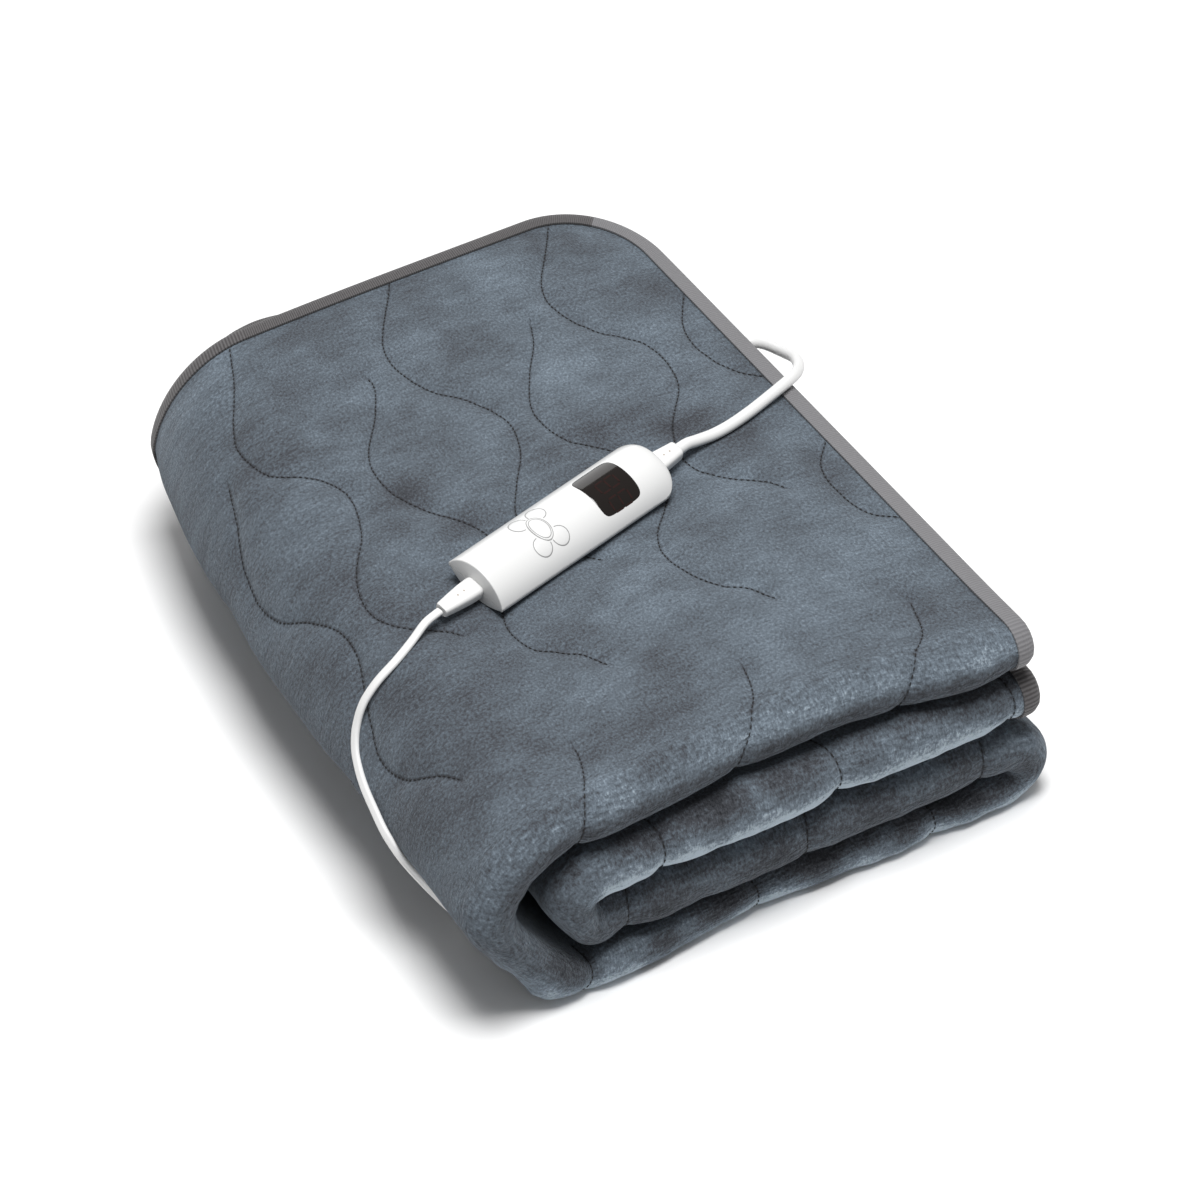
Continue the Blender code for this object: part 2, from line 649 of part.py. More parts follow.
def make_cord(name, route, radius, spacing):
    curve = bpy.data.curves.new(name, "CURVE")
    curve.dimensions = "3D"
    curve.bevel_depth = radius
    curve.bevel_resolution = 2
    curve.resolution_u = 1
    curve.use_fill_caps = True
    places = smooth_route(route, spacing)
    spline = curve.splines.new("POLY")
    spline.points.add(len(places) - 1)
    for point, place in zip(spline.points, places):
        point.co = (*place, 1.0)
    curve.materials.append(WHITE_VINYL)
    made = bpy.data.objects.new(name, curve)
    bpy.context.collection.objects.link(made)
    return made


def make_coil():
    """Outer shape of the coiled lead: a ring, two turns high."""
    shape = bmesh.new()
    inner, outer = COIL_RADII
    bevel = 0.0018
    profile = [(inner + bevel, 0.0), (outer - bevel, 0.0), (outer, bevel), (outer, COIL_HEIGHT - bevel),
               (outer - bevel, COIL_HEIGHT), (inner + bevel, COIL_HEIGHT), (inner, COIL_HEIGHT - bevel),
               (inner, bevel)]
    edges = [shape.verts.new((radius, 0.0, z)) for radius, z in profile]
    loop = [shape.edges.new((a, b)) for a, b in zip(edges, edges[1:] + edges[:1])]
    bmesh.ops.spin(shape, geom=edges + loop, cent=(0, 0, 0), axis=(0, 0, 1), angle=math.tau,
                   steps=COIL_STEPS, use_merge=True)
    made = add_mesh("mains_coil", shape, WHITE_VINYL)
    made.location = COIL_PLACE
    return made


def make_plug():
    """A flat two-pin plug, lying beside the coil with its pins away from the lead."""
    frame = Matrix.Translation(PLUG_PLACE)
    body = [(0.0, 0.0080, 0.0070), (0.012, 0.0100, 0.0090), (0.016, 0.0190, 0.0120), (0.024, 0.0250, 0.0135),
            (0.045, 0.0262, 0.0137), (0.0485, 0.0240, 0.0125)]
    loft("plug_body", body, frame, WHITE_VINYL, sides=16)
    for number, side in enumerate((-1, 1), 1):
        shape = bmesh.new()
        tilt = Matrix.Rotation(math.radians(90), 4, "Y")
        bmesh.ops.create_cone(shape, cap_ends=True, segments=12, radius1=PIN_RADIUS, radius2=PIN_RADIUS,
                              depth=PIN_LENGTH, matrix=tilt)
        pin = add_mesh(f"plug_pin_{number}", shape, PIN_METAL)
        ahead = body[-1][0] + TOUCH + PIN_LENGTH / 2
        pin.location = PLUG_PLACE + Vector((ahead, side * PIN_SPACING / 2, 0.0))


def make_leads():
    frame = control_frame()
    start = -CONTROL_LENGTH / 2 - TOUCH
    back = frame @ Matrix.Translation((start, 0, 0)) @ Matrix.Rotation(math.pi, 4, "Z")
    loft("mains_relief", MAINS_RELIEF, back, WHITE_VINYL)
    ahead = frame @ Matrix.Translation((CONTROL_LENGTH / 2 + TOUCH, 0, 0))
    loft("blanket_relief", BLANKET_RELIEF, ahead, WHITE_VINYL)
    sleeve = Matrix.Translation(SLEEVE_PLACE) @ Matrix.Rotation(SLEEVE_TURN, 4, "Z")
    loft("lead_sleeve", LEAD_SLEEVE, sleeve, WHITE_VINYL)
    make_cord("blanket_lead", BLANKET_LEAD_ROUTE, BLANKET_LEAD / 2, 1.25 * BLANKET_LEAD)
    make_cord("mains_lead", MAINS_ROUTE, MAINS_LEAD / 2, 2.9 * MAINS_LEAD)
    make_coil()
    make_cord("mains_tail", TAIL_ROUTE, MAINS_LEAD / 2, 2.5 * MAINS_LEAD)
    make_plug()


for old in list(bpy.data.objects):
    bpy.data.objects.remove(old, do_unlink=True)

make_blanket()
make_binding()
make_control()
make_leads()
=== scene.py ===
"""Looks of a folded heated blanket: quilted plush, tape, hand control, leads and plug. Metres, +Z up."""
import math

import bmesh
import bpy
from mathutils import Matrix, Vector, noise


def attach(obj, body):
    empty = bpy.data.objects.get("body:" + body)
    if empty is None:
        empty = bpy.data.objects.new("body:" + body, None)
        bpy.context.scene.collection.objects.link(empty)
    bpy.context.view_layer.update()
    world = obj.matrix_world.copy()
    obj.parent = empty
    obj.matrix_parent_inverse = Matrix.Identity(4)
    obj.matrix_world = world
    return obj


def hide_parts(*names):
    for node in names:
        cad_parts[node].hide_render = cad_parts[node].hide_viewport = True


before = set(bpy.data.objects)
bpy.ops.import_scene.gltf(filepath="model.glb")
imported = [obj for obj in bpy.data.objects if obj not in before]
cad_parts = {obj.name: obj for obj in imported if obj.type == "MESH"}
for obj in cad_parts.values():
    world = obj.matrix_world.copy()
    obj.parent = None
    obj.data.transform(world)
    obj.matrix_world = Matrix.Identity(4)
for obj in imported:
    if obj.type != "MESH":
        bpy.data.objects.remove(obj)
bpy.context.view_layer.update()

BODY = "root"

# The fold -----------------------------------------------------------------------------------------
# The cloth is worked out flat (s along it from a bound end, v across it, w out of its middle) and
# then folded, with the same sizes as the part's own source.
END_X = 0.1840
BACK_Y = 0.2395
FRONT_Y = -0.2535
RUNS = (
    # middle, half, sheet, setbacks, slips
    (0.1268, 0.0182, 0.0155, (0.000, 0.017, 0.010), (0.002, 0.016)),
    (0.0125, 0.0125, 0.0110, (0.002, 0.006, 0.001), (0.012, 0.008)),
    (0.0467, 0.0182, 0.0155, (-0.002, 0.002, 0.004), (0.006, 0.005)),
    (0.0867, 0.0182, 0.0155, (0.004, 0.001, -0.003), (0.004, 0.003)),
)
TURNS = (
    # side, inset from END_X at the front, at one third, at two thirds, at the back
    (-1, 0.3155, 0.3090, 0.2990, 0.2670),
    (1, 0.0160, 0.0180, 0.0200, 0.0260),
    (-1, 0.2990, 0.2940, 0.2860, 0.2590),
)
MIDDLE, HALF, SHEET, SETBACK, SLIP = range(5)
SECOND_END = -0.0061
HALF_WIDTH = 0.4650
FOLD_ARC = 0.0330
WIDTH = 2 * HALF_WIDTH + FOLD_ARC
SKEW = 0.035
SKEW_LEFT = 0.30
CROWN = 0.021
CROWN_REACH = (0.21, 0.27)
CORNER = 0.070
CORNER_REACH = 0.105
TAPE_REACH = 0.0120
TAPE = 0.0011
TAPE_GAP = 0.0005
TAPE_SHARE = 0.68
RIM_SHARE = 0.50
EDGE_RISE = 0.030
SEAT_DEPTH = 0.0035
SEAT_RADIUS = 0.020
SEAT_FADE = 0.050

CONTROL = Vector((-0.0125, -0.0361, 0.1546))
CONTROL_TURN = math.radians(13.9)
CONTROL_ROLL = math.radians(12.0)
CONTROL_LENGTH = 0.1520
CONTROL_WIDTH = 0.0465
CONTROL_RISE = 0.0155
CONTROL_DROP = 0.0090


def smooth(t):
    t = min(max(t, 0.0), 1.0)
    return t * t * (3.0 - 2.0 * t)


def mix(a, b, t):
    return a + (b - a) * t


def turn_x(turn, y):
    a, b, c, d = TURNS[turn][1:]
    t = 3.0 * (y - FRONT_Y) / (BACK_Y - FRONT_Y)
    first, second, third = b - a, c - 2 * b + a, d - 3 * c + 3 * b - a
    return END_X - (a + t * first + t * (t - 1) / 2 * second + t * (t - 1) * (t - 2) / 6 * third)


def run_ends(run, y):
    edge = TAPE + TAPE_GAP
    start = END_X - edge if run == 0 else turn_x(run - 1, y)
    finish = END_X - SECOND_END - edge if run == len(RUNS) - 1 else turn_x(run, y)
    return start, finish


def strip_parts():
    """Lengths of the doubled strip's runs and turns, in order, at the middle of its depth."""
    middle_y = (FRONT_Y + BACK_Y) / 2
    parts = []
    for run in range(len(RUNS)):
        start, finish = run_ends(run, middle_y)
        parts.append(("run", run, abs(finish - start)))
        if run < len(TURNS):
            parts.append(("turn", run, math.pi * abs(RUNS[run][MIDDLE] - RUNS[run + 1][MIDDLE]) / 2))
    return parts


PARTS = strip_parts()
LENGTH = sum(part[2] for part in PARTS)


def find_part(s):
    for kind, index, length in PARTS:
        if s <= length or (kind, index) == ("run", len(RUNS) - 1):
            return kind, index, s / length
        s -= length


def along_run(values, t):
    if len(values) == 2:
        return mix(values[0], values[1], t)
    a, b, c = values
    return mix(a, b, smooth(2 * t)) if t < 0.5 else mix(b, c, smooth(2 * t - 1))


def strip_value(place, column):
    kind, index, t = place
    values = RUNS[index][column]
    if kind == "run":
        return along_run(values, t) if isinstance(values, tuple) else values
    after = RUNS[index + 1][column]
    if isinstance(values, tuple):
        values, after = values[-1], after[0]
    return mix(values, after, smooth(t))


def strip_middle(s, y):
    """The strip's middle at station s and depth y, and the direction out of its first face, in XZ."""
    kind, index, t = find_part(s)
    if kind == "run":
        start, finish = run_ends(index, y)
        way = math.copysign(1.0, finish - start)
        return mix(start, finish, t), RUNS[index][MIDDLE], 0.0, -way
    side = TURNS[index][0]
    above, below = RUNS[index][MIDDLE], RUNS[index + 1][MIDDLE]
    angle = math.pi * t
    half = (above - below) / 2
    sign = math.copysign(1.0, half)
    x = turn_x(index, y) + side * abs(half) * math.sin(angle)
    z = (above + below) / 2 + half * math.cos(angle)
    return x, z, -sign * math.sin(angle), -side * math.cos(angle)


def control_distance(x, y):
    """Distance, seen from above, from the hand control's long axis."""
    along_x, along_y = math.cos(CONTROL_TURN), math.sin(CONTROL_TURN)
    dx, dy = x - CONTROL.x, y - CONTROL.y
    share = max(-CONTROL_LENGTH / 2, min(CONTROL_LENGTH / 2, dx * along_x + dy * along_y))
    return math.hypot(dx - along_x * share, dy - along_y * share)


def settled(x, y, z):
    """The stack's crown, and the seat that the hand control presses into its top."""
    crown = (1 - min(abs(x / CROWN_REACH[0]), 1) ** 4) * (1 - min(abs(y / CROWN_REACH[1]), 1) ** 4)
    level = max(z / (RUNS[0][MIDDLE] + RUNS[0][HALF]), 0.0)
    seat = (1 - smooth((control_distance(x, y) - SEAT_RADIUS) / SEAT_FADE)) if level > 0.5 else 0.0
    return Vector((x, y, z * (1 + CROWN * crown) - SEAT_DEPTH * seat * level ** 4))


TUCK = 0.0175
TUCK_HIGH = 0.085
TUCK_INNER_X = -0.100
TUCK_REACH = 0.070
TUCK_BY_DEPTH = (1.09, 0.62)         # shares at the front and at the back
TUCK_LEAN = 0.75
TUCK_SOFT = 1.2


def tucked(point):
    """The stack's left side drawn in low down, where it bulges over what it lies on, flat underneath."""
    point.z = max(point.z, 0.0)
    share = smooth((TUCK_INNER_X - point.x) / TUCK_REACH)
    if share == 0 or not 0 < point.z < TUCK_HIGH:
        return point
    share *= mix(*TUCK_BY_DEPTH, min(max((point.y - FRONT_Y) / (BACK_Y - FRONT_Y), 0.0), 1.0))
    share *= math.sin(math.pi * (point.z / TUCK_HIGH) ** TUCK_LEAN) ** TUCK_SOFT
    return Vector((point.x + TUCK * share, point.y, point.z))


# Places where the cloth lies a little off the plain fold: s, v, reach along, reach across, move.
LIFTS = (
    (0.300, WIDTH, 0.045, 0.035, (0.000, 0.0042, 0.0062)),
    (0.020, 0.020, 0.120, 0.030, (0.000, 0.0012, 0.0000)),
    (0.220, 0.004, 0.120, 0.030, (-0.001, 0.0014, 0.0006)),
    (0.800, HALF_WIDTH + 0.017, 0.030, 0.030, (0.004, 0.0015, -0.0020)),
    (1.130, HALF_WIDTH + 0.017, 0.020, 0.020, (0.000, -0.0020, 0.0010)),
    (0.020, HALF_WIDTH + 0.010, 0.030, 0.030, (0.002, 0.0000, -0.0010)),
)
PATCH_END = 6.0


def patch_share(s, v, patch, end=PATCH_END):
    """How much a soft round patch (s, v, reach along, reach across) weighs at a place in the flat cloth."""
    place, across, reach, spread = patch
    far = ((s - place) / reach) ** 2 + ((v - across) / spread) ** 2
    return math.exp(-far) if far < end else 0.0


def lifted(s, v):
    move = Vector()
    for *patch, way in LIFTS:
        share = patch_share(s, v, patch)
        if share:
            move += Vector(way) * share
    return move


def folded(s, v, w):
    """Where a point of the flat cloth lies in the stack."""
    place = find_part(s)
    lift = lifted(s, v)
    half = strip_value(place, HALF)
    radius = half - strip_value(place, SHEET) / 2
    front = FRONT_Y + strip_value(place, SETBACK) + half
    back = BACK_Y - TAPE - TAPE_GAP
    if v <= HALF_WIDTH:
        y = mix(back, front, v / HALF_WIDTH)
        h = radius + w
    elif v < HALF_WIDTH + FOLD_ARC:
        angle = math.pi * (v - HALF_WIDTH) / FOLD_ARC
        y = front - (radius + w) * math.sin(angle)
        h = (radius + w) * math.cos(angle)
    else:
        share = (v - HALF_WIDTH - FOLD_ARC) / HALF_WIDTH
        y = mix(front, back + strip_value(place, SLIP), share)
        h = -(radius + w)
        s -= SKEW * mix(1.0, SKEW_LEFT, s / LENGTH) * HALF_WIDTH * share
    x, z, out_x, out_z = strip_middle(s, y)
    return tucked(settled(x + out_x * h, y, z + out_z * h) + lift)


def corner_point(a, b):
    """Round the cloth's corner: a and b are a point's distances from the two edges that meet there."""
    depth, reach = min(a, b), max(a, b)
    if depth >= CORNER or reach >= CORNER_REACH:
        return a, b
    radius = CORNER - depth
    arc = math.pi / 4 * radius
    along = (reach - depth) / (CORNER_REACH - depth) * (CORNER_REACH - CORNER + arc)
    if along >= arc:
        near, far = depth, CORNER + along - arc
    else:
        angle = math.pi / 4 - along / radius
        near, far = CORNER - radius * math.cos(angle), CORNER - radius * math.sin(angle)
    return (near, far) if a <= b else (far, near)


def outline_point(s, v):
    a, b = corner_point(min(s, LENGTH - s), min(v, WIDTH - v))
    return (a if s <= LENGTH / 2 else LENGTH - a), (b if v <= WIDTH / 2 else WIDTH - b)


def edge_distance(s, v):
    return min(s, LENGTH - s, v, WIDTH - v)


def half_sheet(s, v):
    """Half the sheet's thickness, pressed at the bound edge."""
    depth = edge_distance(s, v)
    share = mix(RIM_SHARE, TAPE_SHARE, depth / TAPE_REACH)
    if depth > TAPE_REACH:
        share = mix(TAPE_SHARE, 1.0, smooth((depth - TAPE_REACH) / EDGE_RISE))
    return strip_value(find_part(s), SHEET) / 2 * share


# Quilting -----------------------------------------------------------------------------------------
# Runs of quilting on the top, each a smooth line through these places (s, v) in millimetres, from the
# back edge to the front; further along the cloth the same wave goes on evenly.
TOP_RUNS = (
    ((41, 4), (63, 31), (88, 59), (96, 78), (93, 99), (81, 122), (63, 142), (58, 161), (63, 190),
     (84, 219), (94, 242), (94, 262), (81, 281), (64, 295), (57, 305)),
    ((117, 94), (125, 113), (141, 137), (154, 162), (156, 180), (150, 203), (130, 223), (113, 243),
     (114, 266), (127, 285), (144, 305), (151, 326), (147, 349), (137, 366), (125, 375), (115, 391)),
    ((183, 4), (189, 17), (207, 45), (217, 66), (217, 88), (206, 117), (188, 138), (177, 159),
     (174, 174), (181, 198), (196, 220), (209, 242), (211, 262), (200, 287), (184, 305)),
    ((239, 85), (238, 97), (249, 121), (266, 147), (271, 166), (268, 189), (255, 214), (240, 234),
     (232, 256), (237, 280), (253, 302), (262, 325), (260, 348), (247, 363), (237, 372), (229, 386)),
    ((312, 4), (315, 20), (319, 44), (329, 78), (331, 97), (324, 128), (309, 146), (297, 164),
     (294, 182), (301, 208), (315, 235), (321, 257), (320, 277), (310, 295), (296, 306), (288, 315)),
    ((344, 109), (350, 137), (360, 163), (364, 190), (360, 216), (347, 239), (338, 263), (338, 286),
     (346, 310), (357, 337), (361, 354), (356, 376), (342, 396), (335, 411)),
    ((4, 105), (19, 124), (30, 142), (34, 162), (29, 185), (15, 204), (4, 214)),
    ((4, 269), (14, 279), (26, 293), (31, 312), (28, 339), (16, 354), (4, 363)),
    ((48, 425), (51, 437), (58, 455), (73, 470), (83, 482), (87, 495)),
    ((161, 432), (164, 446), (170, 460), (180, 471), (190, 481), (194, 494)),
    ((278, 432), (280, 444), (287, 461), (295, 473), (300, 484), (302, 495)),
)
PITCH = 0.0595
FIRST_EVEN = 0.4085
SWING = 0.0175
WAVE = 0.158
PHASE = (0.0505, 0.1290)
RUN_LENGTH = 0.312
RUN_GAP = 0.112
RUN_STARTS = (0.094, 0.004)
END_MARGIN = 0.03
PLACE_STEP = 0.013
LINE_STEP = 0.0035


def curve_point(a, b, c, d, t):
    """A place between b and c on the smooth curve through four points in a row."""
    return 0.5 * (2 * b + (c - a) * t + (2 * a - 5 * b + 4 * c - d) * t ** 2
                  + (3 * b - a - 3 * c + d) * t ** 3)


def through(points, step):
    """A smooth line through places in the flat cloth, with a point at every step along it."""
    ends = [points[0]] + list(points) + [points[-1]]
    line = []
    for a, b, c, d in zip(ends, ends[1:], ends[2:], ends[3:]):
        a, b, c, d = (Vector(point) for point in (a, b, c, d))
        count = max(1, round((c - b).length / step))
        line += [curve_point(a, b, c, d, k / count) for k in range(count)]
    return line + [Vector(points[-1])]


def even_runs():
    """The quilting further along the cloth, down the outer turn and round the rest of the stack."""
    runs = []
    front = HALF_WIDTH + FOLD_ARC
    count = int((LENGTH - FIRST_EVEN - END_MARGIN) / PITCH)
    for column in range(count + 1):
        centre = FIRST_EVEN + column * PITCH
        start = RUN_STARTS[column % 2]
        while start < front:
            finish = min(start + RUN_LENGTH, front + 0.01)
            places = []
            steps = max(2, round((finish - start) / PLACE_STEP))
            for k in range(steps + 1):
                v = mix(start, finish, k / steps)
                places.append((centre + SWING * math.sin(math.tau * (v - PHASE[column % 2]) / WAVE), v))
            runs.append(tuple(places))
            start += RUN_LENGTH + RUN_GAP
    return runs


def top_runs():
    return [[(s / 1000, v / 1000) for s, v in run] for run in TOP_RUNS]


QUILT = [through(run, LINE_STEP) for run in top_runs() + even_runs()]
CELL = 0.02


def quilt_cells():
    """Pieces of the quilting lines, by the square of the flat cloth that they lie near."""
    cells = {}
    for number, line in enumerate(QUILT):
        for k in range(len(line) - 1):
            column, row = int(line[k].x / CELL), int(line[k].y / CELL)
            for i in (-1, 0, 1):
                for j in (-1, 0, 1):
                    cells.setdefault((column + i, row + j), []).append((number, k))
    return cells


CELLS = quilt_cells()


def crease(s, v):
    """Signed distance to the nearest quilting line, or None when it is further than a cell."""
    best = None
    for number, k in CELLS.get((int(s / CELL), int(v / CELL)), ()):
        a, b = QUILT[number][k], QUILT[number][k + 1]
        along = b - a
        t = ((s - a.x) * along.x + (v - a.y) * along.y) / along.length_squared
        t = min(max(t, 0.0), 1.0)
        dx, dy = s - a.x - along.x * t, v - a.y - along.y * t
        distance = math.hypot(dx, dy)
        if best is None or distance < abs(best):
            best = math.copysign(distance, dx * along.y - dy * along.x)
    return best


# Cloth surface ------------------------------------------------------------------------------------
PUFF = 0.0016
PUFF_REACH = 0.012
TROUGH = 0.0016
TROUGH_REACH = 0.0036
ROLL = 0.0011
ROLL_SCALE = 22.0
PUCKER = 0.0007
PUCKER_REACH = 0.014
PUCKER_SCALE = 95.0
GATHER = (0.0008, 0.0022)
GATHER_SCALE = ((34.0, 22.0), (88.0, 30.0))
GATHER_SLANT = 60.0
GATHER_TIGHT = 0.45
TAPE_FADE = 0.012
FRONT_MARGIN = 0.004
FRONT_FADE = 0.018


def uneven(s, v, along, across, layer):
    """Smooth noise over the flat cloth: its swells per metre along and across, and its own layer."""
    return noise.noise(Vector((s * along, v * across, layer)))


def front_share(v):
    """How much a place across the cloth belongs to the front folds."""
    past = abs(v - HALF_WIDTH - FOLD_ARC / 2) - FOLD_ARC / 2
    return 1 - smooth((past + FRONT_MARGIN) / FRONT_FADE)


def gathers(s, v):
    """Soft wrinkles across the front folds, deeper below the top one."""
    share = front_share(v)
    if share <= 0:
        return 0.0
    depth = mix(GATHER[0], GATHER[1], smooth((s - PARTS[0][2]) / 0.06))
    wide, tight = GATHER_SCALE
    waves = uneven(s, v, *wide, 5.5)
    waves += GATHER_TIGHT * uneven(s + v * GATHER_SLANT / tight[0], v, *tight, 1.3)
    return share * depth * waves


def relief(s, v):
    """How far the outer face stands out of the plain sheet: puffed between the lines, drawn in at them."""
    distance = crease(s, v)
    away = abs(distance) if distance is not None else 1.0
    inside = smooth((edge_distance(s, v) - TAPE_REACH) / TAPE_FADE)
    height = PUFF * (1 - math.exp(-(away / PUFF_REACH) ** 2)) - PUFF * 0.5
    height -= TROUGH * math.exp(-(away / TROUGH_REACH) ** 2)
    height += ROLL * uneven(s, v, ROLL_SCALE, ROLL_SCALE, 3.7)
    pucker = math.exp(-(away / PUCKER_REACH) ** 2)
    height += PUCKER * pucker * uneven(s, v, PUCKER_SCALE, PUCKER_SCALE, 9.1)
    return (height + gathers(s, v)) * inside


# Nap and painted light ----------------------------------------------------------------------------
# The pile lies darker or lighter by how it was last brushed: patches on the top; two broad patches are
# painted shade over the stack's left side, and bands along the front folds are painted sheen and shade by
# how far the cloth has turned over there. Patches: s, v, reach along, reach across, tone.
NAP_PATCHES_AND_PAINTED_SHADE = (
    (0.275, 0.028, 0.026, 0.010, -0.38),
    (0.295, 0.080, 0.014, 0.016, -0.25),
    (0.271, 0.113, 0.020, 0.011, -0.25),
    (0.243, 0.080, 0.014, 0.012, -0.12),
    (0.313, 0.122, 0.016, 0.014, -0.22),
    (0.262, 0.190, 0.020, 0.014, -0.34),
    (0.128, 0.206, 0.024, 0.012, -0.34),
    (0.082, 0.224, 0.022, 0.013, -0.52),
    (0.055, 0.250, 0.020, 0.012, -0.24),
    (0.028, 0.100, 0.018, 0.034, -0.26),
    (0.042, 0.042, 0.026, 0.014, -0.24),
    (0.248, 0.236, 0.016, 0.012, -0.40),
    (0.312, 0.300, 0.014, 0.020, -0.34),
    (0.336, 0.328, 0.012, 0.022, -0.30),
    (0.150, 0.278, 0.030, 0.009, -0.26),
    (0.229, 0.438, 0.030, 0.016, -0.22),
    (0.172, 0.402, 0.022, 0.020, -0.14),
    (0.147, 0.300, 0.012, 0.010, -0.20),
    # Painted shade: these two broad patches darken the stack's left bulge and its front-left corner.
    (0.410, 0.200, 0.055, 0.260, -0.34),
    (0.320, 0.400, 0.050, 0.070, -0.26),
    (0.190, 0.075, 0.016, 0.030, 0.16),
    (0.120, 0.150, 0.030, 0.040, 0.14),
    (0.080, 0.345, 0.040, 0.050, 0.20),
    (0.160, 0.350, 0.045, 0.030, 0.14),
    (0.215, 0.320, 0.040, 0.030, 0.08),
)
# Painted sheen and shade for each run of the strip: (how far the face looks up, tone).
FOLD_PAINTED_LIGHT = (
    ((-1.0, -0.10), (-0.5, -0.40), (-0.1, -0.50), (0.15, -0.20), (0.38, 0.30), (0.65, 0.32), (1.0, 0.0)),
    ((-1.0, 0.95), (-0.4, 0.90), (-0.1, 0.50), (0.2, -0.10), (0.6, -0.45), (1.0, -0.50)),
    ((-1.0, -0.30), (-0.5, -0.55), (0.0, -0.50), (0.5, -0.20), (0.8, -0.20), (1.0, -0.35)),
    ((-1.0, 1.60), (-0.55, 1.50), (-0.22, 1.10), (0.10, 0.50), (0.5, -0.05), (1.0, -0.35)),
)
FOLD_CLOUDS = (0.35, 1.05, 0.40, 0.65)
TONE_PATCH_END = 5.0
# Painted shade, deepest halfway round each turn of the strip.
TURN_PAINTED_SHADE = 0.25
NAP_SHADE = -0.03
# Layers of noise in the tone: swells per metre along and across, layer, size.
NAP_WAVES = ((17.0, 20.0, 0.4, 0.29), (48.0, 60.0, 6.4, 0.20))
CLOUD_WAVES = ((27.0, 60.0, 8.8, 1.0), (70.0, 90.0, 2.8, 0.5))


def waved(s, v, waves):
    return sum(size * uneven(s, v, along, across, layer) for along, across, layer, size in waves)


def stepped(stops, place):
    for (low, a), (high, b) in zip(stops, stops[1:]):
        if place <= high:
            return mix(a, b, smooth((place - low) / (high - low)))
    return stops[-1][1]


# Painted sheen and shade on the front folds by how far each face looks up, painted shade halfway round a
# turn, and clouds of random tone.
def fold_painted_light(s, v):
    kind, index, t = find_part(s)
    angle = math.pi * min(max((v - HALF_WIDTH) / FOLD_ARC, 0.0), 1.0)
    way = -1.0 if index % 2 else 1.0
    tone = stepped(FOLD_PAINTED_LIGHT[index], way * math.cos(angle))
    if kind == "turn":
        after = stepped(FOLD_PAINTED_LIGHT[index + 1], -way * math.cos(angle))
        tone = mix(tone, after, smooth(t)) * abs(math.cos(math.pi * t)) - TURN_PAINTED_SHADE * math.sin(math.pi * t)
    return tone + waved(s, v, CLOUD_WAVES) * FOLD_CLOUDS[index]


# The nap's tone, with painted shade in two broad patches and painted sheen and shade along the front folds.
def nap_and_painted_light_tone(s, v):
    tone = NAP_SHADE + waved(s, v, NAP_WAVES)
    for *patch, depth in NAP_PATCHES_AND_PAINTED_SHADE:
        tone += depth * patch_share(s, v, patch, TONE_PATCH_END)
    share = front_share(v)
    return mix(tone, fold_painted_light(s, v), share) if share > 0 else tone


# Cells of the flat cloth: how many in each run and turn, and across; the ones that show are cut finer.
ALONG_CELLS = (30, 20, 22, 12, 22, 10, 30)
ACROSS_CELLS = ((HALF_WIDTH, 46), (FOLD_ARC, 12), (HALF_WIDTH, 26))


def stations(parts):
    places = [0.0]
    for length, count in parts:
        start = places[-1]
        places += [start + length * (k + 1) / count for k in range(count)]
    return places


ALONG = stations([(part[2], count) for part, count in zip(PARTS, ALONG_CELLS)])
ACROSS = stations(ACROSS_CELLS)
PART_ENDS = stations([(part[2], 1) for part in PARTS])
SHOW_MARGIN = 0.01
TOP_SHOWS = PART_ENDS[2] + SHOW_MARGIN
RIGHT_TURN = (PART_ENDS[3] - SHOW_MARGIN, PART_ENDS[4] + SHOW_MARGIN)
FRONT_SHOWS = (HALF_WIDTH - 0.021, HALF_WIDTH + FOLD_ARC + 0.016)


def at(places, index):
    low = min(int(index), len(places) - 2)
    return mix(places[low], places[low + 1], index - low)


def how_fine(s, v):
    """Extra cuts wanted in a cell of the outer face."""
    if FRONT_SHOWS[0] < v < FRONT_SHOWS[1]:
        return 3
    if v < HALF_WIDTH and s < TOP_SHOWS:
        return 3
    if v < HALF_WIDTH and RIGHT_TURN[0] < s < RIGHT_TURN[1]:
        return 1
    return 0


def finished(name, shape, finish, sharp=40, smooth_faces=True):
    """Turn a bmesh into a piece with its faces pointing out."""
    bmesh.ops.recalc_face_normals(shape, faces=shape.faces)
    mesh = bpy.data.meshes.new(name)
    shape.to_mesh(mesh)
    shape.free()
    if smooth_faces:
        mesh.shade_smooth()
        mesh.set_sharp_from_angle(angle=math.radians(sharp))
    mesh.materials.append(finish)
    made = bpy.data.objects.new(name, mesh)
    bpy.context.scene.collection.objects.link(made)
    return made


def grid(columns, rows):
    """A flat grid whose vertices' x and y count its cells."""
    shape = bmesh.new()
    bmesh.ops.create_grid(shape, x_segments=columns, y_segments=rows, size=0.5)
    for vertex in shape.verts:
        vertex.co.x = (vertex.co.x + 0.5) * columns
        vertex.co.y = (vertex.co.y + 0.5) * rows
    return shape


